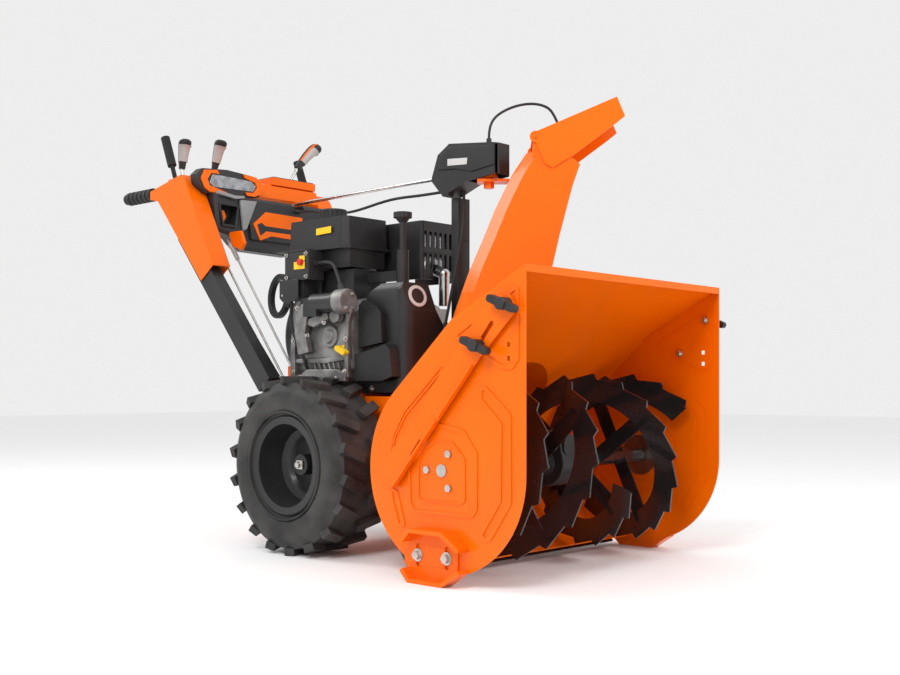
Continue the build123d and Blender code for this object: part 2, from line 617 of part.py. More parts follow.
# ---------------------------------------------------------------- engine
# Crankcase on its feet, with the cylinder head leaning out to the left.
with BuildPart() as engine_block:
    with BuildSketch(face(BLOCK_REAR)):
        Polygon(
            (-150, 402), (90, 402), (118, 440), (118, 590), (80, 600), (-120, 600), (-172, 560), (-184, 500),
            (-176, 430), align=None,
        )
    extrude(amount=BLOCK_REAR - BLOCK_FRONT)
    fillet(engine_block.edges().filter_by(Axis.Y), 10)
    block((-130, 680, FRAME_TOP), (90, 850, 403))
    for fin in range(7):
        block((110, 700 + 18 * fin, 470), (196, 708 + 18 * fin, 590))
    block((110, 700, 490), (186, 816, 570))
    add(rod((-110, BLOCK_FRONT - 12, CRANK_HEIGHT), (-110, BLOCK_FRONT + 5, CRANK_HEIGHT), 40))
    block((-150, BLOCK_FRONT + 12, 418), (90, BLOCK_REAR - 12, 572), Mode.SUBTRACT)
    with BuildSketch(face(BLOCK_REAR + 50)):
        disc(0, CRANK_HEIGHT, CRANK_RADIUS + RUNNING_FIT)
    extrude(amount=400, mode=Mode.SUBTRACT)
save(engine_block, "engine_block")

FAN_BACK = 888
with BuildPart() as crankshaft:
    add(rod((0, PULLEY_BACK - 8, CRANK_HEIGHT), (0, FAN_BACK + 20, CRANK_HEIGHT), CRANK_RADIUS))
    add(pulley(PULLEY_BACK, CRANK_HEIGHT, DRIVER_RADIUS))
    add(pulley(TRACTION_BACK, CRANK_HEIGHT, DRIVER_RADIUS, TRACTION_WIDTH))
    add(rod((0, FAN_BACK, CRANK_HEIGHT), (0, FAN_BACK + 14, CRANK_HEIGHT), 122))
save(crankshaft, "crankshaft")


def belt(back, low, low_radius, high_radius, width=12, thickness=7):
    """Endless belt round a lower and an upper pulley."""
    with BuildPart(mode=Mode.PRIVATE) as loop:
        with BuildSketch(face(back)):
            for grow in (thickness, 0):
                with BuildSketch(mode=Mode.PRIVATE) as hull:
                    with Locations((0, low)):
                        Circle(low_radius + GAP + grow)
                    with Locations((0, CRANK_HEIGHT)):
                        Circle(high_radius + GAP + grow)
                    make_hull()
                add(hull.sketch, mode=Mode.ADD if grow else Mode.SUBTRACT)
        extrude(amount=-width)
    return loop.part


with BuildPart() as drive_belts:
    add(belt(PULLEY_BACK + 6, IMPELLER_HEIGHT, DRIVEN_RADIUS - PULLEY_LIP, DRIVER_RADIUS - PULLEY_LIP))
    add(belt(TRACTION_BACK + 5, DISC_HEIGHT, TRACTION_RADIUS - PULLEY_LIP, DRIVER_RADIUS - PULLEY_LIP, 10))
save(drive_belts, "drive_belts")

# Blower housing: a round shroud over the fan, the starter cup, and the duct under the tank.
SHROUD_REAR = 952
with BuildPart() as blower_housing:
    add(rod((0, BLOCK_REAR + GAP, CRANK_HEIGHT), (0, SHROUD_REAR, CRANK_HEIGHT), SHROUD_RADIUS))
    fillet(blower_housing.faces().sort_by(Axis.Y)[-1].edges(), 18)
    block((-134, 704, 602), (-24, 880, 672))
    add(
        rod((0, BLOCK_REAR - 2, CRANK_HEIGHT), (0, SHROUD_REAR - 6, CRANK_HEIGHT), SHROUD_RADIUS - 8),
        mode=Mode.SUBTRACT,
    )
    add(rod((0, SHROUD_REAR - 6, CRANK_HEIGHT), (0, SHROUD_REAR + 12, CRANK_HEIGHT), 66))
    add(
        rod((0, SHROUD_REAR - 7, CRANK_HEIGHT), (0, SHROUD_REAR + 8, CRANK_HEIGHT), 60), mode=Mode.SUBTRACT
    )
    vent_plane = Plane(origin=at((0, SHROUD_REAR, CRANK_HEIGHT)), x_dir=(1, 0, 0), z_dir=(0, -1, 0))
    with BuildSketch(vent_plane):
        with PolarLocations(100, 20):
            SlotOverall(50, 8)
    extrude(amount=12, both=True, mode=Mode.SUBTRACT)
    block((-SHROUD_RADIUS, BLOCK_REAR, 300), (SHROUD_RADIUS, SHROUD_REAR, FRAME_TOP + GAP), Mode.SUBTRACT)
save(blower_housing, "blower_housing")

# Pull start: a D-shaped grip on the end of its rope.
GRIP_CENTRE = (-118, 1000, 622)
with BuildPart() as recoil_grip:
    with BuildSketch(side(GRIP_CENTRE[0] - 9)):
        with Locations((GRIP_CENTRE[1], GRIP_CENTRE[2])):
            Ellipse(40, 58, rotation=12)
            Ellipse(27, 44, rotation=12, mode=Mode.SUBTRACT)
    extrude(amount=18)
    fillet(recoil_grip.edges(), 4)
    add(rod((GRIP_CENTRE[0], 954, 596), (GRIP_CENTRE[0], 972, 602), 9))
save(recoil_grip, "recoil_grip")

# Fuel tank with a seam, its neck and its screwed cap.
CAP_PLACE = (-80, 836)
with BuildPart() as fuel_tank:
    with BuildSketch(level(726)) as tank_plan:
        Polygon((-165, 716), (-150, 700), (-24, 700), (-12, 716), (-12, 900), (-30, 922), (-148, 922),
                (-165, 904), align=None)
        fillet(tank_plan.vertices(), 8)
    extrude(amount=72, taper=3)
    with BuildSketch(level(720)):
        Polygon((-169, 712), (-152, 695), (-22, 695), (-8, 712), (-8, 904), (-28, 926), (-150, 926),
                (-169, 908), align=None)
    extrude(amount=7)
    block((-150, 700, 676), (-34, 880, 722))
    add(rod((*CAP_PLACE, 790), (*CAP_PLACE, 806), 24))
save(fuel_tank, "fuel_tank")

with BuildPart() as fuel_cap:
    add(rod((*CAP_PLACE, 806), (*CAP_PLACE, 832), 34))
    with BuildSketch(Plane(origin=at((*CAP_PLACE, 806)))):
        with PolarLocations(36, 16):
            Circle(4)
    extrude(amount=20, mode=Mode.SUBTRACT)
    fillet(fuel_cap.faces().sort_by(Axis.Z)[-1].edges(), 3)
save(fuel_cap, "fuel_cap")

# Switch box on the right of the engine, with its lower apron.
BOX_X, BOX_FRONT, BUTTON_PLACE = -200, 792, (818, 690)
with BuildPart() as switch_box:
    block((BOX_X, BOX_FRONT, 648), (-151, 880, 718))
    block((BOX_X + 8, 820, 606), (-151, 892, 648))
    block((BOX_X - 2, 800, 718), (-171, 915, 721))
    block((-152, 800, 604), (-150.2, 870, 672))
    with BuildSketch(side(BOX_X - 1)):
        disc(*BUTTON_PLACE, 8 + GAP)
    extrude(amount=12, mode=Mode.SUBTRACT)
    add(rod((-176, BOX_FRONT - 8, 688), (-176, BOX_FRONT, 688), 9))
save(switch_box, "switch_box")

with BuildPart() as start_button:
    with BuildSketch(side(BOX_X - 10)):
        disc(*BUTTON_PLACE, 8)
    extrude(amount=14)
    fillet(start_button.faces().sort_by(Axis.X)[0].edges(), 2)
save(start_button, "start_button")

# Electric starter: a motor along the crankcase with a cast end cap.
STARTER_X, STARTER_HEIGHT, STARTER_RADIUS = -200, 588, 23
with BuildPart() as starter_motor:
    starter_front, starter_back = 664, 770
    add(rod((STARTER_X, starter_front, STARTER_HEIGHT), (STARTER_X, starter_back, STARTER_HEIGHT),
            STARTER_RADIUS))
    add(rod((STARTER_X, starter_front - 12, STARTER_HEIGHT), (STARTER_X, starter_front + 22, STARTER_HEIGHT),
            STARTER_RADIUS + 6))
    add(rod((STARTER_X - 4.1, starter_front + 0.25, 604), (STARTER_X, starter_front + 14, 626), 8))
    block((-218, 744, 556), (-140, 792, 600))
    with BuildSketch(face(BLOCK_REAR)):
        Polygon((-150, 402), (90, 402), (118, 440), (118, 590), (80, 600.3), (-119.8, 600.3),
                (-172.3, 560.3), (-184.3, 500), (-176.3, 429.8), align=None)
    extrude(amount=BLOCK_REAR - BLOCK_FRONT, mode=Mode.SUBTRACT)
save(starter_motor, "starter_motor")


CORD = 3.5
LONG_CABLE = [(76, 1150, 876), (76, 1110, 876), (72, 1060, 867), (66, 1005, 857), (59, 950, 851),
              (51, 900, 850), (44, 850, 853), (38, 790, 859), (33, 740, 862), (27, 690, 861), (20, 640, 858),
              (12, 592, 856), (12, 552, 856)]
LOWER_CABLE = [(12, 480, 842), (12, 480, 810), (9, 478, 775), (3, 478, 742), (-3, 480, 710), (-9, 483, 678),
               (-14, 487, 646), (-19, 491, 612), (-23, 496, 577), (-26, 503, 540)]


def cable(points, radius):
    """Round cable along hand-set points, each given as x, back, height; returns the part and its radii."""
    spots = [at(point) for point in points]
    bends = []
    for before, here, after in zip(spots, spots[1:], spots[2:]):
        turn = radians((here - before).get_angle(after - here))
        shorter = min((here - before).length, (after - here).length)
        bends.append(0.45 * shorter / tan(turn / 2))
    print("cable radius", radius, "bends", [round(bend) for bend in bends])
    with BuildPart(mode=Mode.PRIVATE) as cord:
        with BuildLine() as route:
            FilletPolyline(*spots, radius=bends)
        with BuildSketch(Plane(origin=route.line @ 0, z_dir=route.line % 0)):
            Circle(radius)
        sweep(path=route.line)
    length = sum(edge.length for edge in route.edges())
    print("length", round(length), "volume ratio", cord.part.volume / (pi * radius**2 * length))
    return cord.part


with BuildPart() as starter_cable:
    add(
        cable(
            [(-176, BOX_FRONT - 8, 688), (-176, 752, 688), (-183, 722, 681), (STARTER_X + 6, 698, 658),
             (STARTER_X, 678, 626)], 4
        )
    )
save(starter_cable, "starter_cable")

# Muffler with its chromed elbow, and the slotted guard over it.
GUARD_LOW, GUARD_HIGH = (-6, 600, 650), (142, 765, 792)
with BuildPart() as muffler:
    block((6, 625, 668), (128, 745, 775))
    fillet(muffler.edges().filter_by(Axis.Z), 24)
    add(rod((60, 745, 700), (60, 790, 700), 16))
    add(rod((52, 580, 664), (52, 640, 690), 13))
    add(rod((52, 580, 586), (52, 580, 664), 13))
    with Locations(at((52, 580, 664))):
        Sphere(14)
save(muffler, "muffler")

with BuildPart() as muffler_guard:
    block(GUARD_LOW, GUARD_HIGH)
    fillet(muffler_guard.edges().filter_by(Axis.Z), 8)
    block(
        (GUARD_LOW[0] + 3, GUARD_LOW[1] + 3, GUARD_LOW[2] - 1),
        (GUARD_HIGH[0] - 3, GUARD_HIGH[1] + 1, GUARD_HIGH[2] - 3),
        Mode.SUBTRACT,
    )
    with BuildSketch(face(GUARD_LOW[1] - 1)):
        for row in (694, 748):
            with Locations((61, row)):
                with GridLocations(18, 1, 7, 1):
                    SlotOverall(40, 9, rotation=90)
    extrude(amount=-6, mode=Mode.SUBTRACT)
    block((34, 590, 640), (70, 610, 700), Mode.SUBTRACT)
save(muffler_guard, "muffler_guard")

# Oil filler tube in its sleeve with a fluted cap, and the yellow oil plug low on the crankcase.
OIL_X, OIL_BACK = -82, 590
with BuildPart() as oil_tube:
    add(rod((OIL_X, OIL_BACK, 634), (OIL_X, OIL_BACK, 712), 15))
    add(rod((OIL_X, OIL_BACK, 712), (OIL_X, OIL_BACK, 778), 8))
    block((OIL_X - 8, OIL_BACK, 640), (OIL_X + 8, 703.6, 664))
save(oil_tube, "oil_tube")

with BuildPart() as oil_cap:
    add(rod((OIL_X, OIL_BACK, 778), (OIL_X, OIL_BACK, 788), 10, 18))
    add(rod((OIL_X, OIL_BACK, 788), (OIL_X, OIL_BACK, 801), 22))
    with BuildSketch(Plane(origin=at((OIL_X, OIL_BACK, 789)))):
        with PolarLocations(24, 12):
            Circle(3.5)
    extrude(amount=20, mode=Mode.SUBTRACT)
save(oil_cap, "oil_cap")

PLUG_PLACE = (675, 474)
with BuildPart() as oil_plug:
    add(rod((-184.5, *PLUG_PLACE), (-192, *PLUG_PLACE), 13))
    with BuildSketch(side(-207)):
        with Locations(PLUG_PLACE):
            SlotOverall(36, 13, rotation=25)
    extrude(amount=15)
save(oil_plug, "oil_plug")

# Moulded belt cover: a hollow shell with two shoulders on its side, open towards the engine.
COVER_FRONT, COVER_REAR, COVER_SIDE_X = 512, 650, -152
COVER_FACE = [(COVER_SIDE_X, 374), (COVER_SIDE_X, 611), (-138, 630), (-8, 630), (30, 590), (78, 520),
              (122, 440), (132, 374)]
COVER_SIDE = [(COVER_FRONT, 374), (COVER_FRONT, 564), (532, 630), (604, 630), (640, 600), (COVER_REAR, 520),
              (COVER_REAR, 374)]
COVER_FAR = [(-80, 631), (-51, 568), (-20, 526), (60, 400), (60, 373), (150, 373), (150, 631)]
COVER_CORNER = 30
SHOULDERS = [
    (-168, [(COVER_REAR, 480), (573, 491), (577, 560), (592, 576), (634, 592), (COVER_REAR, 580)]),
    (-180, [(COVER_REAR, 464), (574, 479), (550, 486), (536, 474), (529, 412), (560, 402),
            (COVER_REAR, 402)]),
]


def cover_solid(inset=0):
    """Outer shape of the belt cover, less an inset."""
    with BuildPart(mode=Mode.PRIVATE) as solid:
        with BuildSketch(face(COVER_REAR)):
            Polygon(*COVER_FACE, align=None)
            if inset:
                offset(amount=-inset, kind=Kind.INTERSECTION)
        extrude(amount=COVER_REAR - COVER_FRONT)
        with BuildSketch(side(COVER_SIDE_X - 1)):
            Polygon(*COVER_SIDE, align=None)
            if inset:
                offset(amount=-inset, kind=Kind.INTERSECTION)
        extrude(amount=400, mode=Mode.INTERSECT)
        with BuildSketch(level(300)) as plan:
            Polygon(
                (COVER_SIDE_X, COVER_REAR), (COVER_SIDE_X, COVER_FRONT), (150, COVER_FRONT),
                (150, COVER_REAR), align=None,
            )
            fillet(plan.vertices().sort_by(Axis.X).group_by(Axis.Y)[0].sort_by(Axis.X)[0], COVER_CORNER)
            if inset:
                offset(amount=-inset, kind=Kind.INTERSECTION)
        extrude(amount=400, mode=Mode.INTERSECT)
        with BuildSketch(face(COVER_FRONT - 1)):
            Polygon(*[(x - 2 * inset, height) for x, height in COVER_FAR], align=None)
        extrude(amount=240, dir=(0.74, 0.672, 0), mode=Mode.SUBTRACT)
        for shoulder_x, outline in SHOULDERS:
            with BuildSketch(side(shoulder_x + inset)):
                Polygon(*outline, align=None)
                if inset:
                    offset(amount=-inset, kind=Kind.INTERSECTION)
            extrude(amount=COVER_SIDE_X + 10 - shoulder_x)
    return solid.part


cover_core = cover_solid(SHEET)
with BuildPart() as belt_cover:
    add(cover_solid())
    fillet(belt_cover.faces().sort_by(Axis.Y)[0].edges(), 2)
    add(cover_core, mode=Mode.SUBTRACT)
    add(cover_core.moved(Location((0, SHEET + 1, 0))), mode=Mode.SUBTRACT)
    add(cover_core.moved(Location((0, 0, -SHEET - 1))), mode=Mode.SUBTRACT)
    add(rod(LOWER_CABLE[-1], (-30.7, 514, 482), 5))
save(belt_cover, "belt_cover")

# ---------------------------------------------------------------- handlebars
# Black rectangular tubes with tabs to the frame, and the round handlebar stubs inside the grips.
TUBE_LOW, TUBE_HIGH = (898, 393), (1240, 795)
TUBE_OUTER_X, TUBE_INNER_X = 251, 218
TUBE_DEPTH = 52


def tube_outline():
    """Side outline of the slanted lower tube, square to its run."""
    run = hypot(TUBE_HIGH[0] - TUBE_LOW[0], TUBE_HIGH[1] - TUBE_LOW[1])
    across = (
        -(TUBE_HIGH[1] - TUBE_LOW[1]) / run * TUBE_DEPTH / 2,
        (TUBE_HIGH[0] - TUBE_LOW[0]) / run * TUBE_DEPTH / 2,
    )
    return [
        (TUBE_LOW[0] + across[0], TUBE_LOW[1] + across[1]),
        (TUBE_HIGH[0] + across[0], TUBE_HIGH[1] + across[1]),
        (TUBE_HIGH[0] - across[0], TUBE_HIGH[1] - across[1]),
        (TUBE_LOW[0] - across[0], TUBE_LOW[1] - across[1]),
    ]


with BuildPart() as handle_tubes:
    for hand in SIDES.values():
        with BuildSketch(side(hand * TUBE_INNER_X)):
            Polygon(*tube_outline(), align=None)
        extrude(amount=hand * (TUBE_OUTER_X - TUBE_INNER_X))
        tab_reach = sorted((hand * FRAME_HALF, hand * (TUBE_INNER_X + 4)))
        block((tab_reach[0], 888, 378), (tab_reach[1], 922, 412))
        add(rod((hand * GRIP_X, 1300, GRIP_HEIGHT), (hand * GRIP_X, LENGTH - 6, GRIP_HEIGHT), 10))
save(handle_tubes, "handle_tubes")

# Orange uprights: folded sheet, open at the rear, slotted on top for the dead-man levers.
UPRIGHT_OUTER, UPRIGHT_INNER = 255, 200
with BuildPart() as uprights:
    for hand in SIDES.values():
        with BuildSketch(side(hand * UPRIGHT_INNER)):
            Polygon((1383, 918), (1240, 948), (1222, 930), (1100, 700), (1152, 662), (1347, 888),
                    (1383, 896), align=None)
        extrude(amount=hand * (UPRIGHT_OUTER - UPRIGHT_INNER))
        with BuildSketch(side(hand * (UPRIGHT_INNER + SHEET))):
            Polygon((1400, 912), (1241, 944), (1226, 929), (1096, 684), (1152, 640), (1420, 880), align=None)
        extrude(amount=hand * (UPRIGHT_OUTER - UPRIGHT_INNER - 2 * SHEET), mode=Mode.SUBTRACT)
        slot = sorted((hand * (LEVER_X - 15), hand * (UPRIGHT_OUTER - SHEET)))
        block((slot[0], 1272, 900), (slot[1], 1400, 960), Mode.SUBTRACT)
save(uprights, "uprights")

# Ribbed rubber grips.
RIB_COUNT = 6
with BuildPart() as handle_grips:
    for hand in SIDES.values():
        add(rod((hand * GRIP_X, 1384, GRIP_HEIGHT), (hand * GRIP_X, LENGTH, GRIP_HEIGHT), 15))
        for index in range(RIB_COUNT):
            rib_front = 1388 + index * 20
            add(rod((hand * GRIP_X, rib_front, GRIP_HEIGHT),
                    (hand * GRIP_X, rib_front + 14, GRIP_HEIGHT), 18))
        add(
            rod((hand * GRIP_X, 1380, GRIP_HEIGHT), (hand * GRIP_X, LENGTH - 6, GRIP_HEIGHT), 10),
            mode=Mode.SUBTRACT,
        )
save(handle_grips, "handle_grips")

# Dead-man levers: a bent rod with a foam sleeve, on a cross pin inside the upright.
LEVER_TOP = (1346, 1063)
for lever_name, hand in (("attachment_lever", RIGHT), ("traction_lever", LEFT)):
    pivot_back, pivot_height = LEVER_PIVOT
    slope = ((LEVER_TOP[0] - pivot_back) / 138, (LEVER_TOP[1] - pivot_height) / 138)
    with BuildPart() as dead_man:
        add(rod((hand * LEVER_X, pivot_back + 4 * slope[0], pivot_height + 4 * slope[1]),
                (hand * LEVER_X, pivot_back + 60 * slope[0], pivot_height + 60 * slope[1]), 6))
        add(rod((hand * LEVER_X, pivot_back + 58 * slope[0], pivot_height + 58 * slope[1]),
                (hand * LEVER_X, *LEVER_TOP), 12))
        add(rod((hand * LEVER_X - 14, *LEVER_PIVOT), (hand * LEVER_X + 14, *LEVER_PIVOT), 10))
    save(dead_man, lever_name)

# ---------------------------------------------------------------- dash
DASH_HALF = UPRIGHT_INNER - GAP
with BuildPart() as dash_panel:
    with BuildSketch(side(-DASH_HALF)):
        Polygon((1216, 916), (1222, 952), (1236, 958), (1378, 958), (1392, 930), (1388, 896), (1368, 896),
                (1368, 926), (1240, 926), (1232, 904), align=None)
    extrude(amount=2 * DASH_HALF)
    block((40, 1222, 957), (196, 1344, 978))
    for x, back in ((-181, 1344), (-66, 1352)):
        block((x - 9, back - 44, 900), (x + 9, back + 22, 980), Mode.SUBTRACT)
    block((60, 1238, 900), (176, 1262, 990), Mode.SUBTRACT)
save(dash_panel, "dash_panel")

# Front cover under the dash: a dark moulding with a pocket on the right and a badge panel.
with BuildPart() as dash_front:
    with BuildSketch(face(1214)):
        Polygon((-198, 900), (-190, 800), (-150, 792), (-110, 756), (60, 752), (110, 776), (190, 800),
                (198, 900), align=None)
    extrude(amount=46)
    chamfer(dash_front.faces().sort_by(Axis.Y)[0].edges(), 8)
    with BuildSketch(face(1160)):
        Polygon((-186, 868), (-120, 868), (-136, 820), (-178, 820), align=None)
    extrude(amount=-40, both=True, mode=Mode.SUBTRACT)
    block((70, 1150, 886), (106, 1216, 902), Mode.SUBTRACT)
    add(rod((LONG_CABLE[0][0], 1190, LONG_CABLE[0][2]), LONG_CABLE[0], 5))
    with BuildSketch(face(1170)):
        Polygon((-96, 872), (104, 872), (84, 786), (-84, 786), align=None)
    extrude(amount=10)
save(dash_front, "dash_front")

# Hexagonal headlight on the right of the dash.
with BuildPart() as headlight:
    with BuildSketch(face(1215)):
        Polygon((-198, 912), (-190, 966), (-160, 974), (-50, 966), (-24, 944), (-34, 912), (-60, 904),
                (-170, 902), align=None)
    extrude(amount=32)
    chamfer(headlight.faces().sort_by(Axis.Y)[0].edges(), 6)
save(headlight, "headlight")

# Shift, chute and deflector levers: a rod and a pistol-shaped knob on a cross or fore-and-aft pin.
STICK_RADIUS = 5


def stick(pivot, foot, top, pin):
    """Control lever from its pivot through the dash to the top of its knob."""
    with BuildPart(mode=Mode.PRIVATE) as lever:
        add(rod(pivot, foot, STICK_RADIUS))
        add(rod(foot, top, 12, 17))
        add(rod(tuple(a - b for a, b in zip(pivot, pin)), tuple(a + b for a, b in zip(pivot, pin)), 7))
    return lever.part


SHIFT_PIVOT, DEFLECTOR_PIVOT, JOYSTICK_PIVOT = (-66, 1340, 930), (-181, 1332, 930), (98, 1250, 940)
with BuildPart() as speed_lever:
    add(stick(SHIFT_PIVOT, (-66, 1352, 1000), (-58, 1330, 1090), (8, 0, 0)))
save(speed_lever, "speed_lever")
with BuildPart() as deflector_lever:
    add(stick(DEFLECTOR_PIVOT, (-181, 1342, 985), (-176, 1338, 1070), (8, 0, 0)))
save(deflector_lever, "deflector_lever")
with BuildPart() as chute_lever:
    add(stick(JOYSTICK_PIVOT, (150, 1250, 1020), (224, 1250, 1108), (0, 8, 0)))
save(chute_lever, "chute_lever")

# ---------------------------------------------------------------- chute
# Round base that turns on the collar and grows into a tall box, open in front and at the top.
CHUTE_SHEET = 2.5
RING_INNER, RING_OUTER = COLLAR_RADIUS + SHEET + GAP, COLLAR_RADIUS + SHEET + 4
RING_LOW, RING_HIGH, TOWER_LOW = 480, 514, 600
CHUTE_BACK_LINE = [(-62, TOWER_LOW), (-44, 650), (-15, 717), (14, 788), (50, 862), (84, 914)]
CHUTE_FRONT_LINE = [(118, 932), (184, 899), (203, 884), (186, 835), (158, 728), (140, 650), (126, TOWER_LOW)]
CORNER_RADIUS = 28
RING_FLAT = 2
HINGE_PIN, HINGE_LUG = 3.5, 7


def chute_foot(inset=0):
    """Transition from the round base to the box."""
    with BuildPart(mode=Mode.PRIVATE) as foot:
        with BuildSketch(chute_level(RING_HIGH)):
            RectangleRounded(
                2 * (RING_OUTER - inset), 2 * (RING_OUTER - inset), RING_OUTER - inset - RING_FLAT
            )
        with BuildSketch(chute_level(TOWER_LOW)):
            with Locations(((CHUTE_BACK_LINE[0][0] + CHUTE_FRONT_LINE[-1][0]) / 2, 0)):
                RectangleRounded(
                    CHUTE_FRONT_LINE[-1][0] - CHUTE_BACK_LINE[0][0] - 2 * inset,
                    2 * (CHUTE_HALF - inset),
                    CORNER_RADIUS - inset,
                )
        loft()
    return foot.part


def band(shift):
    """Outline of the back sheet's edge, moved forward by a shift."""
    outer = [(reach + shift, height) for reach, height in CHUTE_BACK_LINE]
    return [*outer, *[(reach + CHUTE_SHEET + 0.3, height) for reach, height in reversed(outer)]]


with BuildPart() as tower:
    flat_half = CHUTE_HALF - CORNER_RADIUS
    with BuildSketch(chute_side(-flat_half)):
        Polygon(*band(0), align=None)
    extrude(amount=2 * flat_half)
    for hand in SIDES.values():
        with BuildSketch(chute_side(hand * flat_half)):
            Polygon(*band(0), align=None)
        slant = chute_side().x_dir + chute_side().z_dir * hand
        extrude(amount=CORNER_RADIUS * sqrt(2), dir=slant.normalized())
        with BuildSketch(chute_side(hand * CHUTE_HALF)):
            Polygon(
                *[(reach + CORNER_RADIUS, height) for reach, height in CHUTE_BACK_LINE],
                *CHUTE_FRONT_LINE, align=None,
            )
        extrude(amount=-hand * CHUTE_SHEET)

with BuildPart() as chute:
    with BuildSketch(chute_level(RING_LOW)):
        Circle(RING_OUTER)
    extrude(amount=RING_HIGH - RING_LOW)
    add(chute_foot())
    with BuildSketch(chute_level(RING_LOW)):
        Circle(RING_INNER)
    extrude(amount=RING_HIGH - RING_LOW, mode=Mode.SUBTRACT)
    add(chute_foot(CHUTE_SHEET), mode=Mode.SUBTRACT)
    add(tower.part)
    for lug_side in (-CHUTE_HALF, CHUTE_HALF - CHUTE_SHEET):
        with BuildSketch(chute_side(lug_side)):
            with Locations((HINGE_REACH, HINGE_HEIGHT)):
                Circle(HINGE_LUG)
            Polygon((96, 900), (98, HINGE_HEIGHT), (110, HINGE_HEIGHT), (130, 912), align=None)
        extrude(amount=CHUTE_SHEET)
    with BuildSketch(chute_side(-CHUTE_HALF - 1)):
        with Locations((HINGE_REACH, HINGE_HEIGHT)):
            Circle(HINGE_PIN + RUNNING_FIT)
    extrude(amount=2 * CHUTE_HALF + 2, mode=Mode.SUBTRACT)
save(chute, "chute")

# Deflector: a hood hinged outside the chute's upper rear corners, with an anchor for its cable.
HOOD_INNER, HOOD_OUTER = CHUTE_HALF + 1.5, CHUTE_HALF + 4
HOOD_REAR, HOOD_TIP = (97, 953), (284, 1032)
HOOD_SIDE = [HOOD_REAR, HOOD_TIP, (302, 989), (281, 972), (192, 906), (142, 875), (125, 885), (105, 932)]
HOOD_RUN = hypot(HOOD_TIP[0] - HOOD_REAR[0], HOOD_TIP[1] - HOOD_REAR[1])
HOOD_NORMAL = (-(HOOD_TIP[1] - HOOD_REAR[1]) / HOOD_RUN, (HOOD_TIP[0] - HOOD_REAR[0]) / HOOD_RUN)


def off_hood(along, out):
    """Reach and height of a point along the hood's top and out from it."""
    return (
        HOOD_REAR[0] + along * HOOD_NORMAL[1] + out * HOOD_NORMAL[0],
        HOOD_REAR[1] - along * HOOD_NORMAL[0] + out * HOOD_NORMAL[1],
    )


def chute_spot(reach, height):
    """Point on the chute's middle plane as x, back and height."""
    spot = chute_side().from_local_coords(Vector(reach, height, 0))
    return spot.X, spot.Y - FRONT, spot.Z


ANCHOR_ALONG, ANCHOR_HEIGHT = 72, 12
with BuildPart() as deflector:
    with BuildSketch(chute_side(-HOOD_OUTER)):
        Polygon(*HOOD_SIDE, align=None)
    extrude(amount=2 * HOOD_OUTER)
    with BuildSketch(chute_side(-HOOD_INNER)):
        Polygon(
            off_hood(-20, -CHUTE_SHEET), off_hood(HOOD_RUN + 60, -CHUTE_SHEET), (380, 980), (200, 800),
            (60, 800), align=None,
        )
    extrude(amount=2 * HOOD_INNER, mode=Mode.SUBTRACT)
    for plate_side in (-HOOD_OUTER, HOOD_INNER):
        with BuildSketch(chute_side(plate_side)):
            with Locations((HINGE_REACH, HINGE_HEIGHT)):
                Circle(13)
        extrude(amount=HOOD_OUTER - HOOD_INNER)
    for pin_side in (-HOOD_OUTER - 5, CHUTE_HALF - CHUTE_SHEET - 4):
        with BuildSketch(chute_side(pin_side)):
            with Locations((HINGE_REACH, HINGE_HEIGHT)):
                Circle(HINGE_PIN)
        extrude(amount=HOOD_OUTER - CHUTE_HALF + CHUTE_SHEET + 9)
    add(rod(chute_spot(*off_hood(ANCHOR_ALONG, -1)), chute_spot(*off_hood(ANCHOR_ALONG, ANCHOR_HEIGHT)), 6))
save(deflector, "deflector")

# ---------------------------------------------------------------- chute drive
# Post behind the chute, and the covered bevel gears on its top.
POST_BACK = (488, 511)
POST_X = (2, 42)
COVER_HALF = 28
GEAR_SIDE = [(549, 878), (527, 936), (491, 958), (346, 942), (346, 872), (437, 864), (511, 836)]
with BuildPart() as chute_post:
    block((POST_X[0], POST_BACK[0], 420), (POST_X[1], POST_BACK[1], 835))
    block((POST_X[0] + 3, POST_BACK[0] + 3, 419), (POST_X[1] - 3, POST_BACK[1] + 1, 836), Mode.SUBTRACT)
    with BuildSketch(face(DRUM_REAR + 30)):
        disc(0, IMPELLER_HEIGHT, DRUM_RADIUS + SHEET + GAP / 2)
    extrude(amount=60, mode=Mode.SUBTRACT)
    block((POST_X[0] + 3, POST_BACK[0] - 4, 736), (POST_X[0] + 31, POST_BACK[0], 748))
save(chute_post, "chute_post")

ROD_REAR, ROD_FRONT, ROD_RADIUS = (90, 1205, 903), (4.6, 434, 889.6), 5
CABLE_TOP = 960
with BuildPart() as gear_cover:
    with BuildSketch(side(-COVER_HALF)):
        Polygon(*GEAR_SIDE, align=None)
    extrude(amount=2 * COVER_HALF)
    chamfer(gear_cover.edges().filter_by(Axis.Z).group_by(Axis.Y)[0], 10)
    with BuildSketch(side(-COVER_HALF + SHEET)):
        Polygon(*GEAR_SIDE, align=None)
        offset(amount=-SHEET, kind=Kind.INTERSECTION)
        Polygon((349, 900), (349, 800), (436, 800), (436, 900), align=None)
    extrude(amount=2 * (COVER_HALF - SHEET), mode=Mode.SUBTRACT)
    add(rod((0, CHUTE_BACK, 944), (0, CHUTE_BACK, CABLE_TOP), 6))
    add(rod((LOWER_CABLE[0][0], LOWER_CABLE[0][1], 850), LOWER_CABLE[0], 5))
    add(rod((LONG_CABLE[-1][0], 529, LONG_CABLE[-1][2]), LONG_CABLE[-1], 5))
    add(rod(ROD_REAR, ROD_FRONT, ROD_RADIUS + RUNNING_FIT), mode=Mode.SUBTRACT)
save(gear_cover, "gear_cover")

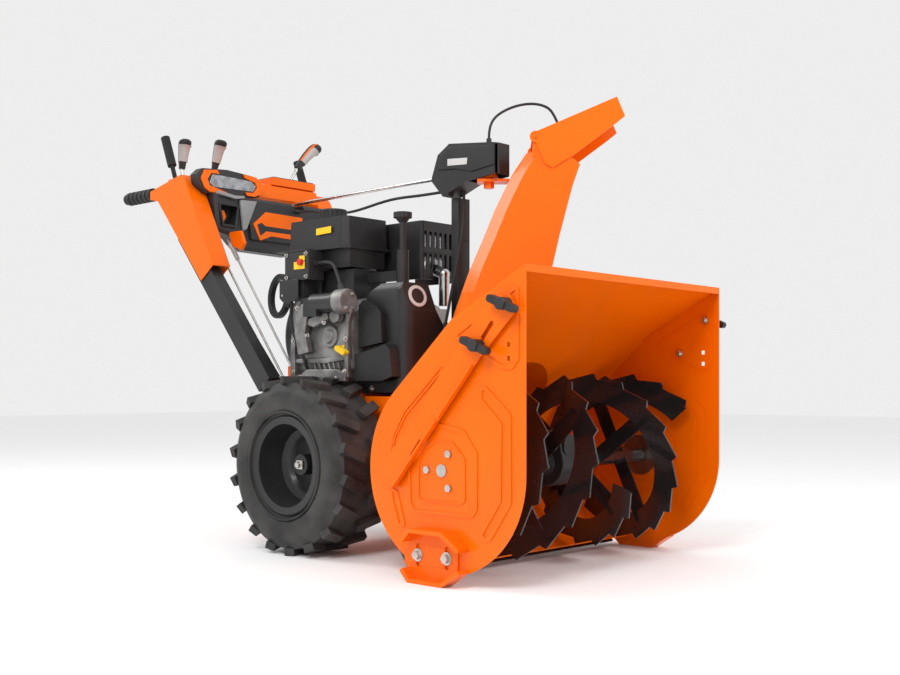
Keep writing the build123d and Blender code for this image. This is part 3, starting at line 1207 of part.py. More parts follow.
# Upright output shaft with its bevel gear, carrying the plate that turns the chute.
with BuildPart() as chute_gear:
    with BuildSketch(level(845)):
        with Locations((0, CHUTE_BACK)):
            RegularPolygon(12, 6)
    extrude(amount=13)
    add(rod((0, CHUTE_BACK, 850), (0, CHUTE_BACK, 905), 9))
    add(rod((0, CHUTE_BACK, 868), (0, CHUTE_BACK, 882), 23, 17))
    with BuildSketch(chute_level(858)):
        with Locations((10, 0)):
            RectangleRounded(74, 44, 6)
    extrude(amount=6)
save(chute_gear, "chute_gear")

with BuildPart() as control_rod:
    add(rod(ROD_REAR, ROD_FRONT, ROD_RADIUS))
    pinion_end = at(ROD_FRONT) + (at(ROD_REAR) - at(ROD_FRONT)).normalized() * 14
    add(rod(ROD_FRONT, (pinion_end.X, pinion_end.Y - FRONT, pinion_end.Z), 7))
save(control_rod, "control_rod")

# ---------------------------------------------------------------- cables and clutch rods
with BuildPart() as deflector_cable:
    add(
        cable(
            [chute_spot(*spot) for spot in
             ((0, CABLE_TOP), (0, 984), (13, 1010), (42, 1028), (74, 1038), (106, 1040), (134, 1032),
              off_hood(ANCHOR_ALONG, ANCHOR_HEIGHT + 26), off_hood(ANCHOR_ALONG, ANCHOR_HEIGHT))],
            CORD,
        )
    )
save(deflector_cable, "deflector_cable")

with BuildPart() as control_lines:
    add(cable(LONG_CABLE, CORD))
    add(cable(LOWER_CABLE, CORD))
    for hand in SIDES.values():
        add(rod((hand * 192, 1176, 700), (hand * 181, 926, 414), 3))
save(control_lines, "control_lines")
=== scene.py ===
import math

import bmesh
import bpy
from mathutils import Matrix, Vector


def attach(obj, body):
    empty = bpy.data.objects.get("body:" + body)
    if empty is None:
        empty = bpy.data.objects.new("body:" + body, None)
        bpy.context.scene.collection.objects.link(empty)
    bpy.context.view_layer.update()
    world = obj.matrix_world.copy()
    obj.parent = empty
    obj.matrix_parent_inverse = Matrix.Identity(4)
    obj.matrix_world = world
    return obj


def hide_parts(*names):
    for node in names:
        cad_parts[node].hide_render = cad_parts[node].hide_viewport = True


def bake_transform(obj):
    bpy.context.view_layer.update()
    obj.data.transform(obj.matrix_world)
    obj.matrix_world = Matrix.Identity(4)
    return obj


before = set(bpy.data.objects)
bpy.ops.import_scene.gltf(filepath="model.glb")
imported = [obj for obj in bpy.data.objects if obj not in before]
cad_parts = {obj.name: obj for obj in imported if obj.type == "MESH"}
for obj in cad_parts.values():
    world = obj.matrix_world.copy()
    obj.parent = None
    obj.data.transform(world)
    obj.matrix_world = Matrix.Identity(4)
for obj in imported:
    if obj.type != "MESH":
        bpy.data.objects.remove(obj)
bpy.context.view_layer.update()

# Lengths are written in millimetres as x, distance behind the housing's front edge, and height, and
# at() turns them into the row frame's metres.
FRONT = -758
RIGHT, LEFT = -1, 1
ORANGE = (0.86, 0.135, 0.0)
BLACK = (0.011, 0.011, 0.012)


def at(x, back, height):
    """Point of the row frame in metres."""
    return Vector((x, FRONT + back, height)) / 1000


# ---------------------------------------------------------------- materials
def material(name):
    """New node material with its shader and its nodes."""
    made = bpy.data.materials.new(name)
    made.use_nodes = True
    nodes = made.node_tree.nodes
    return made, nodes, made.node_tree.links, nodes["Principled BSDF"]


def noise(nodes, links, scale, detail=4, stretch=(1, 1, 1)):
    """Noise in object space, in cycles per metre."""
    place = nodes.new("ShaderNodeTexCoord")
    mapping = nodes.new("ShaderNodeMapping")
    mapping.inputs["Scale"].default_value = stretch
    texture = nodes.new("ShaderNodeTexNoise")
    texture.inputs["Scale"].default_value = scale
    texture.inputs["Detail"].default_value = detail
    links.new(place.outputs["Object"], mapping.inputs["Vector"])
    links.new(mapping.outputs["Vector"], texture.inputs["Vector"])
    return texture.outputs["Fac"]


def ramp(nodes, links, value, low, high, ends=(0.35, 0.65)):
    """Colour between two ends that follows a value."""
    node = nodes.new("ShaderNodeValToRGB")
    node.color_ramp.elements[0].position = ends[0]
    node.color_ramp.elements[1].position = ends[1]
    node.color_ramp.elements[0].color = (*low, 1)
    node.color_ramp.elements[1].color = (*high, 1)
    links.new(value, node.inputs["Fac"])
    return node.outputs["Color"]


def bump(nodes, links, shader, height, strength, distance=0.001):
    """Bump that follows a height."""
    node = nodes.new("ShaderNodeBump")
    node.inputs["Strength"].default_value = strength
    node.inputs["Distance"].default_value = distance
    links.new(height, node.inputs["Height"])
    links.new(node.outputs["Normal"], shader.inputs["Normal"])


def shade(colour, factor):
    """Colour made lighter or darker."""
    return tuple(min(1, channel * factor) for channel in colour)


def finish_of(name, colour, rough, metal=0.0, coat=0.0, vary=0.12, grain=900, grain_height=0.08, smudge=9,
              shine=0.36):
    """Surface with slow smudges in colour and roughness, and a fine grain."""
    made, nodes, links, shader = material(name)
    slow = noise(nodes, links, smudge, 3)
    links.new(ramp(nodes, links, slow, shade(colour, 1 - vary), shade(colour, 1 + vary)),
              shader.inputs["Base Color"])
    spread = nodes.new("ShaderNodeMapRange")
    spread.inputs["To Min"].default_value = rough * 0.85
    spread.inputs["To Max"].default_value = min(1, rough * 1.18)
    links.new(noise(nodes, links, smudge * 4, 5), spread.inputs["Value"])
    links.new(spread.outputs["Result"], shader.inputs["Roughness"])
    shader.inputs["Metallic"].default_value = metal
    shader.inputs["Coat Weight"].default_value = coat
    shader.inputs["Coat Roughness"].default_value = 0.12
    shader.inputs["Specular IOR Level"].default_value = shine
    bump(nodes, links, shader, noise(nodes, links, grain, 2), grain_height, 0.0006)
    return made


MATERIALS = {
    "orange": finish_of("orange_paint", ORANGE, 0.34, coat=0.3, vary=0.03, grain=420, grain_height=0.05,
                        shine=0.1),
    "black_paint": finish_of("black_paint", BLACK, 0.26, coat=0.7, vary=0.25, grain=300, grain_height=0.08),
    "satin_black": finish_of("satin_black", (0.016, 0.016, 0.017), 0.42, coat=0.15, vary=0.2, grain=700),
    "plastic": finish_of("moulded_plastic", (0.02, 0.02, 0.021), 0.46, vary=0.18, grain=1500,
                         grain_height=0.25),
    "gloss_plastic": finish_of("gloss_plastic", (0.014, 0.014, 0.015), 0.4, coat=0.06, vary=0.2, grain=900),
    "grey_plastic": finish_of("grey_plastic", (0.23, 0.23, 0.235), 0.48, vary=0.12, grain=1500,
                              grain_height=0.25),
    "rubber": finish_of("rubber", (0.021, 0.021, 0.021), 0.7, vary=0.25, grain=600, grain_height=0.35),
    "tyre": finish_of("tyre_rubber", (0.034, 0.033, 0.032), 0.6, vary=0.45, grain=350, grain_height=0.45,
                      smudge=14),
    "foam": finish_of("foam", (0.017, 0.017, 0.018), 0.85, vary=0.25, grain=1200, grain_height=0.6),
    "cast": finish_of("cast_aluminium", (0.25, 0.245, 0.24), 0.5, metal=0.8, vary=0.35, grain=520,
                      grain_height=0.6, smudge=22),
    "zinc": finish_of("zinc_plate", (0.56, 0.55, 0.52), 0.3, metal=1.0, vary=0.12, grain=800, smudge=30),
    "steel": finish_of("bright_steel", (0.62, 0.62, 0.62), 0.2, metal=1.0, vary=0.08, grain=900, smudge=30),
    "iron": finish_of("dark_iron", (0.05, 0.05, 0.05), 0.45, metal=0.5, vary=0.25, grain=420,
                      grain_height=0.6),
    "yellow": finish_of("yellow_plastic", (0.80, 0.50, 0.01), 0.4, vary=0.08, grain=900),
    "red": finish_of("red_plastic", (0.55, 0.012, 0.008), 0.32, coat=0.3, vary=0.08, grain=900),
    "label": finish_of("pale_label", (0.52, 0.52, 0.51), 0.45, vary=0.05, grain=1100),
    "pale_plastic": finish_of("pale_plastic", (0.42, 0.40, 0.385), 0.42, vary=0.07, grain=1300,
                              grain_height=0.2),
    "lens": finish_of("lamp_lens", (0.34, 0.35, 0.37), 0.08, metal=0.7, coat=1.0, vary=0.3, grain=140,
                      grain_height=0.6, smudge=60),
}

NODE_FINISH = {
    "orange": ["housing_shell", "side_plates", "impeller_drum", "skid_shoes", "drift_cutters",
               "tractor_frame", "uprights", "dash_panel", "chute", "chute_gear", "deflector"],
    "black_paint": ["auger_right", "auger_left", "impeller", "scraper_blade"],
    "satin_black": ["handle_tubes", "chute_post", "muffler_guard", "wheel_rim_right", "wheel_rim_left",
                    "blower_housing", "oil_tube", "starter_motor"],
    "plastic": ["wing_knob_right_upper", "wing_knob_right_lower", "wing_knob_left_upper",
                "wing_knob_left_lower", "fuel_cap", "switch_box", "dash_front", "oil_cap",
                "recoil_grip", "speed_lever", "chute_lever", "deflector_lever", "headlight"],
    "gloss_plastic": ["belt_cover", "gear_cover", "fuel_tank"],
    "rubber": ["friction_wheel", "drive_belts", "handle_grips", "starter_cable", "deflector_cable",
               "control_lines"],
    "tyre": ["tyre_right", "tyre_left"],
    "foam": ["attachment_lever", "traction_lever"],
    "cast": ["engine_block"],
    "zinc": ["housing_fasteners", "auger_shaft", "impeller_shaft", "friction_disc", "crankshaft"],
    "steel": ["control_rod", "muffler"],
    "iron": ["gear_case"],
    "yellow": ["oil_plug"],
    "red": ["start_button"],
}


def finish_nodes():
    """Give every CAD node its finish, soft edges and smooth round stretches."""
    for finish, names in NODE_FINISH.items():
        for name in names:
            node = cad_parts[name]
            node.data.materials.clear()
            node.data.materials.append(MATERIALS[finish])
            weld = node.modifiers.new("weld", "WELD")
            weld.merge_threshold = 0.00002
            soften(node, 0.0009)


def soften(piece, width, segments=2):
    """Round the sharp edges of a piece and smooth its curves."""
    for polygon in piece.data.polygons:
        polygon.use_smooth = True
    edge = piece.modifiers.new("edges", "BEVEL")
    edge.width = width
    edge.segments = segments
    edge.limit_method = "ANGLE"
    edge.angle_limit = math.radians(38)
    edge.harden_normals = False
    edge.use_clamp_overlap = True
    normals = piece.modifiers.new("normals", "WEIGHTED_NORMAL")
    normals.keep_sharp = True


finish_nodes()


# ---------------------------------------------------------------- building pieces
def side(x):
    """Plane seen from the left: first axis runs back, second up, and depth runs to the left."""
    return at(x, 0, 0), Vector((0, 1, 0)), Vector((0, 0, 1)), Vector((1, 0, 0))


def face(back):
    """Upright plane: first axis is X, second up, and depth runs forward."""
    return at(0, back, 0), Vector((1, 0, 0)), Vector((0, 0, 1)), Vector((0, -1, 0))


def level(height):
    """Level plane: first axis is X, second back, and depth runs up."""
    return at(0, 0, height), Vector((1, 0, 0)), Vector((0, 1, 0)), Vector((0, 0, 1))


def piece(name, body, finish, vertices, faces, edge=0.0006):
    """Mesh piece in metres that rides on a body."""
    mesh = bpy.data.meshes.new(name)
    mesh.from_pydata([tuple(vertex) for vertex in vertices], [], faces)
    shaped = bmesh.new()
    shaped.from_mesh(mesh)
    bmesh.ops.recalc_face_normals(shaped, faces=shaped.faces)
    shaped.to_mesh(mesh)
    shaped.free()
    made = bpy.data.objects.new(name, mesh)
    bpy.context.scene.collection.objects.link(made)
    mesh.materials.append(MATERIALS[finish])
    soften(made, edge)
    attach(made, body)
    return made


def slab(name, body, finish, plane, outline, depth, edge=0.0006):
    """Flat outline on a plane, in millimetres, given a depth."""
    origin, first, second, out = plane
    count = len(outline)
    corners = [
        origin + (first * a + second * b + out * reach) / 1000
        for reach in (0, depth)
        for a, b in outline
    ]
    walls = [(i, (i + 1) % count, count + (i + 1) % count, count + i) for i in range(count)]
    faces = [tuple(range(count)), tuple(range(count, 2 * count)), *walls]
    return piece(name, body, finish, corners, faces, edge)


def frame_slab(name, body, finish, plane, outline, width, depth, edge=0.0006):
    """Closed band of a width inside an outline."""
    origin, first, second, out = plane
    middle = Vector((sum(p[0] for p in outline), sum(p[1] for p in outline))) / len(outline)
    inner = []
    for a, b in outline:
        run = Vector((a, b)) - middle
        inner.append(middle + run * (1 - width / run.length))
    corners, faces = [], []
    for reach in (0, depth):
        corners += [origin + (first * a + second * b + out * reach) / 1000 for a, b in outline]
        corners += [origin + (first * p.x + second * p.y + out * reach) / 1000 for p in inner]
    count = len(outline)
    for i in range(count):
        j = (i + 1) % count
        faces += [
            (i, j, count + j, count + i),
            (2 * count + i, 2 * count + j, 3 * count + j, 3 * count + i),
            (i, j, 2 * count + j, 2 * count + i),
            (count + i, count + j, 3 * count + j, 3 * count + i),
        ]
    return piece(name, body, finish, corners, faces, edge)


def ring(radius, count):
    """Points round a circle."""
    turns = [2 * math.pi * i / count for i in range(count)]
    return [(radius * math.cos(turn), radius * math.sin(turn)) for turn in turns]


def skin(rows, count):
    """Four-sided faces between rows of count points each."""
    faces = []
    for row in range(rows - 1):
        low, high = row * count, (row + 1) * count
        for i in range(count):
            j = (i + 1) % count
            faces.append((low + i, low + j, high + j, high + i))
    return faces


def lathe(name, body, finish, start, end, profile, count=28, edge=0.0004, ends=True):
    """Turned piece from start towards end; the profile lists distance along and radius in millimetres."""
    axis = (end - start).normalized()
    across = axis.orthogonal().normalized()
    third = axis.cross(across)
    corners = []
    for along, radius in profile:
        for a, b in ring(radius, count):
            corners.append(start + (axis * along + across * a + third * b) / 1000)
    faces = skin(len(profile), count)
    if ends:
        faces.append(tuple(range(count)))
        faces.append(tuple(range((len(profile) - 1) * count, len(profile) * count)))
    return piece(name, body, finish, corners, faces, edge)


def band(name, body, finish, start, end, profile, count=72, edge=0.0006):
    """Turned ring: the profile closes on itself."""
    return lathe(name, body, finish, start, end, [*profile, profile[0]], count, edge, ends=False)


def bolt(name, body, place, out, radius=7, finish="zinc"):
    """Hexagon bolt head on its washer, standing out from a place."""
    lathe(f"{name}_washer", body, finish, place, place + out, [(0, radius * 1.5), (1.6, radius * 1.5)], 20)
    lathe(name, body, finish, place, place + out, [(0, radius), (5.4, radius), (6.4, radius * 0.8)], 6)


def sweep(name, body, finish, sections, edge=0.0004):
    """Skin over a row of sections, each a closed list of points."""
    count = len(sections[0])
    corners = [point for section in sections for point in section]
    ends = [tuple(range(count)), tuple(range((len(sections) - 1) * count, len(sections) * count))]
    faces = ends + skin(len(sections), count)
    return piece(name, body, finish, corners, faces, edge)


def round_curve(name, points, radius):
    """Round curve along points in metres; the radius is in millimetres."""
    curve = bpy.data.curves.new(name, "CURVE")
    curve.dimensions = "3D"
    curve.bevel_depth = radius / 1000
    curve.bevel_resolution = 4
    curve.use_fill_caps = True
    line = curve.splines.new("NURBS")
    line.points.add(len(points) - 1)
    for spot, point in zip(line.points, points):
        spot.co = (*point, 1)
    line.order_u = 3
    line.use_endpoint_u = True
    return curve


def hose(name, body, finish, points, radius):
    """Round hose along points."""
    curve = round_curve(name, [at(*point) for point in points], radius)
    made = bpy.data.objects.new(name, curve)
    bpy.context.scene.collection.objects.link(made)
    curve.materials.append(MATERIALS[finish])
    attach(made, body)


def bending_cable(name, points, radius, node):
    """Mesh cable along points, in place of the CAD node that it hides."""
    curve = round_curve(name, points, radius)
    curve.splines[0].resolution_u = 10
    source = bpy.data.objects.new(f"{name}_path", curve)
    mesh = bpy.data.meshes.new_from_object(source)
    bpy.data.objects.remove(source)
    made = bpy.data.objects.new(name, mesh)
    bpy.context.scene.collection.objects.link(made)
    mesh.materials.clear()
    mesh.materials.append(MATERIALS["rubber"])
    for polygon in mesh.polygons:
        polygon.use_smooth = True
    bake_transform(made)
    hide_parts(node)


# ---------------------------------------------------------------- control levers
# Share of the height, half width, half depth and forward shift of each section of a knob.
KNOB_SHAPE = [
    (0, 8.5, 9, 0), (0.18, 10, 10.5, 0), (0.24, 11.5, 12, 0), (0.5, 13, 13.5, 1),
    (0.72, 15, 15, 4), (0.86, 17.5, 17, 9), (0.94, 16.5, 16, 12), (1, 11, 12, 13),
]
SHELL_TOP = 0.8


def pistol(name, body, pivot, foot, top, lean, stripe=False):
    """Hand knob: a dark core that hooks forward at its top, with a pale front shell, on its rod."""
    foot, top, pivot = at(*foot), at(*top), at(*pivot)
    axis = (top - foot).normalized()
    lean = (lean - axis * lean.dot(axis)).normalized()
    cross = axis.cross(lean)
    height = (top - foot).length

    def arc(middle, angles, wide, deep):
        return [middle + (cross * math.cos(t) * wide + lean * math.sin(t) * deep) / 1000 for t in angles]

    def strip(sections, degrees, proud, highest=1):
        """Thin curved strip over the core, standing proud of it."""
        angles = [math.radians(angle) for angle in degrees]
        rows = []
        for share, wide, deep, shift in sections:
            middle = foot + axis * height * min(share, highest) + lean * shift / 1000
            rows.append(arc(middle, angles, wide + proud, deep + proud)
                        + arc(middle, angles[::-1], wide - 1, deep - 1))
        return rows

    core = []
    for share, wide, deep, shift in KNOB_SHAPE:
        middle = foot + axis * height * share + lean * shift / 1000
        core.append([middle + (cross * a * wide + lean * b * deep) / 1000 for a, b in ring(1, 20)])
    sweep(f"{name}_core", body, "plastic", core)
    sweep(f"{name}_shell", body, "pale_plastic", strip(KNOB_SHAPE[2:6], range(15, 166, 15), 1.6, SHELL_TOP))
    if stripe:
        sweep(f"{name}_stripe", body, "orange", strip(KNOB_SHAPE[2:7], (166, 176, 186), 1.4))
    reach = (foot - pivot).length * 1000
    return lathe(f"{name}_rod", body, "zinc", pivot, foot, [(0, 5), (reach + 6, 5)], 16)


TOWARDS_FRONT = Vector((-0.25, -1, 0))
speed_rod = pistol("speed_knob", "speed", (-66, 1340, 930), (-66, 1352, 1000), (-58, 1336, 1082),
                   TOWARDS_FRONT)
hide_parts("speed_lever")
deflector_rod = pistol("deflector_knob", "deflector_stick", (-181, 1332, 930), (-181, 1342, 985),
                       (-176, 1340, 1064), TOWARDS_FRONT)
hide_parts("deflector_lever")
chute_rod = pistol("chute_knob", "chute_stick", (98, 1250, 940), (150, 1250, 1020), (216, 1250, 1098),
                   Vector((0.7, -0.8, 0)), stripe=True)
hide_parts("chute_lever")

# ---------------------------------------------------------------- dash
LAMP_FRONT, LAMP_REAR = 1184, 1215
surround = slab("lamp_surround", "machine", "plastic", face(LAMP_REAR),
                [(-244, 946), (-226, 962), (-146, 968), (-60, 962), (-28, 938), (-40, 906), (-118, 898),
                 (-214, 898), (-240, 922)], LAMP_REAR - LAMP_FRONT, 0.002)
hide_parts("headlight")
slab("lamp_lens", "machine", "lens", face(LAMP_FRONT),
     [(-206, 926), (-196, 950), (-68, 947), (-52, 934), (-62, 919), (-192, 916)], 2.5, 0.001)
slab("lamp_frame_right", "machine", "orange", face(LAMP_FRONT),
     [(-222, 911), (-234, 934), (-224, 957), (-182, 962), (-176, 952), (-202, 951), (-214, 934), (-206, 918),
      (-172, 911), (-148, 905), (-140, 899), (-206, 901)], 6, 0.0012)
slab("lamp_frame_left", "machine", "orange", face(LAMP_FRONT),
     [(-96, 962), (-54, 959), (-32, 942), (-38, 914), (-60, 905), (-84, 905), (-90, 914), (-62, 916),
      (-50, 932), (-58, 944), (-92, 952)], 6, 0.0012)
BADGE = [(-38, 864), (-80, 828), (-56, 785), (-18, 800), (92, 796), (92, 862)]
slab("badge_field", "machine", "orange", face(1160), BADGE, 2.4, 0.0005)
slab("badge_inset", "machine", "gloss_plastic", face(1157.8),
     [(-67, 827), (-56, 798), (-36, 812), (90, 811), (90, 824), (-40, 826), (-52, 834)], 0.7, 0.0002)
slab("badge_brow", "machine", "grey_plastic", face(1168), [(-122, 888), (-66, 890), (-100, 812), (-112, 806)],
     10, 0.0025)
frame_slab("pocket_rim", "machine", "gloss_plastic", face(1168),
           [(-190, 874), (-124, 872), (-134, 812), (-178, 812)], 7, 7, 0.0015)
slab("pocket_latch", "machine", "orange", face(1190),
     [(-178, 856), (-160, 858), (-152, 842), (-160, 828), (-176, 828)], 10, 0.002)
slab("dash_bar", "machine", "grey_plastic", face(1166),
     [(-196, 896), (-140, 888), (-110, 893), (-110, 899), (-140, 897), (-196, 904)], 10, 0.001)
slab("dash_pad", "machine", "plastic", level(978), [(44, 1226), (192, 1226), (192, 1340), (44, 1340)], 3, 0.0014)

# ---------------------------------------------------------------- engine
slab("tank_label", "machine", "yellow", side(-166.5), [(748, 759), (802, 757), (802, 773), (748, 775)],
     -0.8, 0.0002)
SWITCH_X = -200
slab("switch_label_low", "machine", "yellow", side(SWITCH_X), [(806, 674), (846, 674), (846, 692), (806, 692)],
     -0.7, 0.0002)
slab("switch_label_high", "machine", "yellow", side(SWITCH_X), [(806, 694), (826, 694), (826, 706), (806, 706)],
     -0.7, 0.0002)
slab("switch_apron", "machine", "plastic", side(SWITCH_X - 0.5),
     [(826, 604), (838, 596), (884, 596), (896, 606), (896, 650), (826, 650)], -5, 0.002)
SWITCH_SCREWS = [(800, 710), (872, 710), (800, 655), (872, 655), (884, 612)]
for index, (back, height) in enumerate(SWITCH_SCREWS):
    bolt(f"switch_screw_{index}", "machine", at(SWITCH_X - 0.5, back, height), Vector((-1, 0, 0)), 3.4)
STARTER_X, STARTER_HEIGHT, STARTER_SCREWS = -200, 588, 19
lathe("starter_cap", "machine", "cast", at(STARTER_X, 652, STARTER_HEIGHT), at(STARTER_X, 600, STARTER_HEIGHT),
      [(-30, 29.4), (0, 29.4), (2.5, 27)], 36, 0.001)
for index, angle in enumerate((60, 240)):
    turn = math.radians(angle)
    spot = at(STARTER_X + STARTER_SCREWS * math.cos(turn), 649.5,
              STARTER_HEIGHT + STARTER_SCREWS * math.sin(turn))
    bolt(f"starter_screw_{index}", "machine", spot, Vector((0, -1, 0)), 3.2)
CASTING = side(-184)
slab("case_flange", "machine", "cast", CASTING,
     [(657, 410), (668, 410), (672, 470), (664, 560), (650, 578), (642, 572), (656, 540), (660, 470)], -12, 0.002)
slab("case_rear_flange", "machine", "cast", CASTING,
     [(846, 404), (864, 404), (866, 470), (856, 560), (838, 600), (826, 596), (842, 556), (850, 470)], -12, 0.002)
slab("case_belt", "machine", "cast", CASTING,
     [(662, 452), (740, 444), (850, 446), (850, 456), (738, 456), (662, 464)], -8, 0.002)
slab("case_foot", "machine", "cast", CASTING,
     [(664, 400), (860, 400), (866, 412), (820, 418), (800, 430), (690, 430), (664, 418)], -16, 0.003)
lathe("case_boss", "machine", "cast", at(-180, 732, 508), at(-220, 732, 508),
      [(0, 27), (7, 27), (9, 24), (9, 17), (13, 15), (13, 0.5)], 36, 0.001)
lathe("case_filter", "machine", "cast", at(-180, 706, 556), at(-220, 706, 556), [(0, 17), (15, 17), (17, 14)],
      24, 0.001)
slab("case_shoulder", "machine", "cast", CASTING,
     [(724, 548), (776, 530), (800, 536), (796, 552), (764, 566), (728, 566)], -16, 0.005)
slab("case_bridge", "machine", "cast", CASTING,
     [(790, 470), (828, 464), (842, 520), (836, 572), (812, 592), (794, 560), (804, 520)], -20, 0.004)
for index in range(6):
    reach = 690 + 17 * index
    slab(f"case_rib_{index}", "machine", "cast", CASTING,
         [(reach, 430), (reach + 4, 430), (reach + 10, 446), (reach + 6, 446)], -7, 0.001)
CASE_BOLTS = [
    (668, 424), (664, 500), (654, 566), (852, 424), (852, 500), (838, 580), (800, 512), (826, 566), (740, 542),
    (694, 410), (820, 410),
]
for index, (back, height) in enumerate(CASE_BOLTS):
    bolt(f"case_bolt_{index}", "machine", at(-196, back, height), Vector((-1, 0, 0)), 4.4)
hose("breather_hose", "machine", "rubber",
     [(-196, 858, 600), (-198, 862, 566), (-198, 856, 528), (-199, 834, 492), (-199, 812, 462), (-194, 808, 440),
      (-182, 812, 424)], 4)
DISC_OUT = Vector((-0.12, -0.95, 0.26)).normalized()
DISC_PLACE = at(-106, 519, 598)
lathe("cover_disc", "machine", "gloss_plastic", DISC_PLACE, DISC_PLACE + DISC_OUT,
      [(-6, 20), (2, 20)], 40, 0.0006)
band("cover_disc_rim", "machine", "label", DISC_PLACE, DISC_PLACE + DISC_OUT,
     [(-6, 26), (2.4, 26), (2.4, 18), (-6, 18)], 40)
bolt("cover_screw", "machine", at(-152, 622, 384), Vector((-1, 0, 0)), 5)
slab("gear_cover_label", "machine", "label", side(-30.8), [(493, 922), (431, 917), (433, 902), (493, 906)], -0.8,
     0.0003)
slab("gear_cover_facet", "machine", "gloss_plastic", side(-28),
     [(526, 900), (470, 896), (420, 884), (352, 892), (352, 936), (488, 950), (520, 932)], -3, 0.003)
slab("cable_bracket", "machine", "orange", side(-150),
     [(1176, 800), (1160, 762), (1122, 748), (1108, 766), (1124, 800)], 10, 0.002)
RODS = [("clutch_rod", -188, (1172, 760), (901, 411)), ("drive_rod", -148, (1180, 782), (918, 438))]
SPRING_START, COIL_PITCH, COIL_COUNT = 18, 4, 14
for name, x, top, foot in RODS:
    start, end = at(x, *top), at(x, *foot)
    run = (end - start).length * 1000
    lathe(name, "machine", "zinc", start, end, [(0, 3), (run, 3)], 12)
    coils = [(SPRING_START + COIL_PITCH * index + shift, radius)
             for index in range(COIL_COUNT) for shift, radius in ((0, 5), (2, 7))]
    lathe(f"{name}_spring", "machine", "zinc", start, end, coils, 14, 0.0003)
slab("guard_bar", "machine", "satin_black", face(600), [(-4, 716), (138, 716), (138, 726), (-4, 726)], 2, 0.001)

# ---------------------------------------------------------------- chute
# The chute rests turned to the machine's left by CHUTE_TURN.
CHUTE_TURN, CHUTE_BACK, CHUTE_HALF = math.radians(40), 392, 85.5
REACH = Vector((math.sin(CHUTE_TURN), -math.cos(CHUTE_TURN), 0))
for name, hand in (("right", 1), ("left", -1)):
    sideways = hand * Vector((-math.cos(CHUTE_TURN), -math.sin(CHUTE_TURN), 0))
    wall = at(0, CHUTE_BACK, 0) + sideways * CHUTE_HALF / 1000, REACH, Vector((0, 0, 1)), sideways
    slab(f"chute_flange_{name}", "chute_group", "orange", wall,
         [(190, 884), (174, 838), (146, 730), (128, 652), (118, 612), (114.5, 612), (124.5, 652), (142.5, 730),
          (170.5, 838), (186.5, 886)], 0.4, 0.0001)

# Arched cable from the gear cover to the deflector.
CABLE_ROUTE = [
    (0, 960), (0, 984), (13, 1010), (42, 1028), (74, 1038), (106, 1040), (134, 1032), (148.5, 1016),
    (158.6, 992.1),
]


def chute_point(reach, height):
    """Point on the chute's middle plane in metres."""
    return at(0, CHUTE_BACK, height) + REACH * reach / 1000


bending_cable("arched_cable", [chute_point(*spot) for spot in CABLE_ROUTE], 3, "deflector_cable")

# ---------------------------------------------------------------- wheels
AXLE = 735, 207
for hand, wheel in ((RIGHT, "wheel_right"), (LEFT, "wheel_left")):
    out = Vector((hand, 0, 0))
    hub = at(hand * 274, *AXLE)
    lathe(f"{wheel}_hub_plate", wheel, "zinc", hub, hub + out, [(0, 15), (4, 15)], 4, 0.001)
    lathe(f"{wheel}_hub_nut", wheel, "zinc", hub, hub + out, [(4, 8), (12, 8), (13, 6)], 6, 0.0005)
    for index, radius in enumerate((124, 150)):
        plane_point = at(hand * 326, *AXLE)
        band(f"{wheel}_wall_ring_{index}", wheel, "tyre", plane_point, plane_point + out,
             [(-6, radius + 3), (1.8, radius + 1.5), (1.8, radius - 1.5), (-6, radius - 3)])

# ---------------------------------------------------------------- nuts inside the side plates
NUT_X, WING_STUDS = 351, {"upper": (34, 543), "lower": (101, 467)}
for hand in (RIGHT, LEFT):
    name = "right" if hand == RIGHT else "left"
    for place, (back, height) in WING_STUDS.items():
        bolt(f"knob_nut_{name}_{place}", f"knob_{name}_{place}", at(hand * NUT_X, back, height),
             Vector((-hand, 0, 0)), 6)

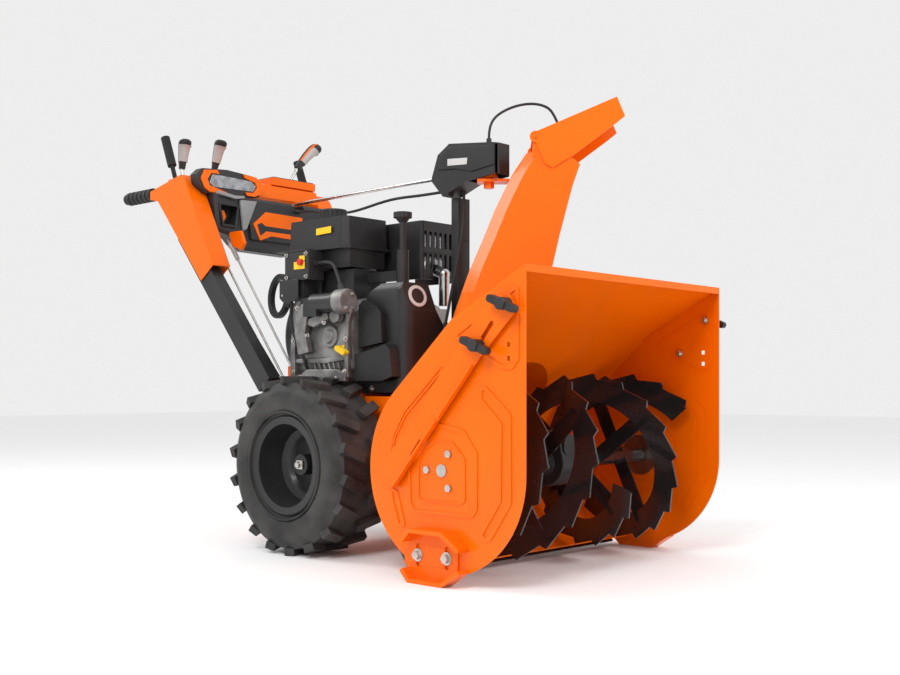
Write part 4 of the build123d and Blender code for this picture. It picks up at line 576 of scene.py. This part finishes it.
# ---------------------------------------------------------------- stage
CAMERA_PLACE = Vector((-2.0187, -2.0779, 0.39165))
CAMERA_ALONG = Vector((0.740, 0.672, 0))
HORIZON_SHIFT = 0.0532


def make_camera():
    """Level camera off the machine's front right corner."""
    data = bpy.data.cameras.new("camera")
    data.lens = 45.93
    data.sensor_width = 36
    data.shift_y = HORIZON_SHIFT
    camera = bpy.data.objects.new("camera", data)
    camera.location = CAMERA_PLACE
    camera.rotation_mode = "QUATERNION"
    camera.rotation_quaternion = CAMERA_ALONG.to_track_quat("-Z", "Y")
    bpy.context.scene.collection.objects.link(camera)
    bpy.context.scene.camera = camera


def area_light(name, place, target, size, power):
    """Soft square light aimed at a point."""
    data = bpy.data.lights.new(name, "AREA")
    data.shape = "SQUARE"
    data.size = size
    data.energy = power
    light = bpy.data.objects.new(name, data)
    light.location = place
    light.rotation_mode = "QUATERNION"
    light.rotation_quaternion = (Vector(target) - Vector(place)).to_track_quat("-Z", "Y")
    bpy.context.scene.collection.objects.link(light)


def make_stage():
    """Pale floor under a white sky with soft lights."""
    mesh = bpy.data.meshes.new("floor")
    reach = 12
    mesh.from_pydata([(-reach, -reach, 0), (reach, -reach, 0), (reach, reach, 0), (-reach, reach, 0)], [],
                     [(0, 1, 2, 3)])
    floor = bpy.data.objects.new("floor", mesh)
    bpy.context.scene.collection.objects.link(floor)
    floor.data.materials.append(finish_of("floor", (0.93, 0.93, 0.93), 0.85, vary=0.004, grain=40,
                                          grain_height=0.01))
    world = bpy.data.worlds.new("sky")
    bpy.context.scene.world = world
    world.use_nodes = True
    sky = world.node_tree.nodes["Background"]
    sky.inputs["Color"].default_value = (1, 1, 1, 1)
    sky.inputs["Strength"].default_value = 0.85
    area_light("key", (-2.6, -1.4, 2.6), (0, 0, 0.5), 1.1, 52)
    area_light("front", (0.9, -3.2, 2.2), (0, 0, 0.4), 1.0, 34)
    area_light("back", (-1.4, 2.4, 2.8), (0, 0, 0.7), 1.2, 36)


make_camera()
make_stage()

bpy.context.scene.view_settings.view_transform = "Standard"
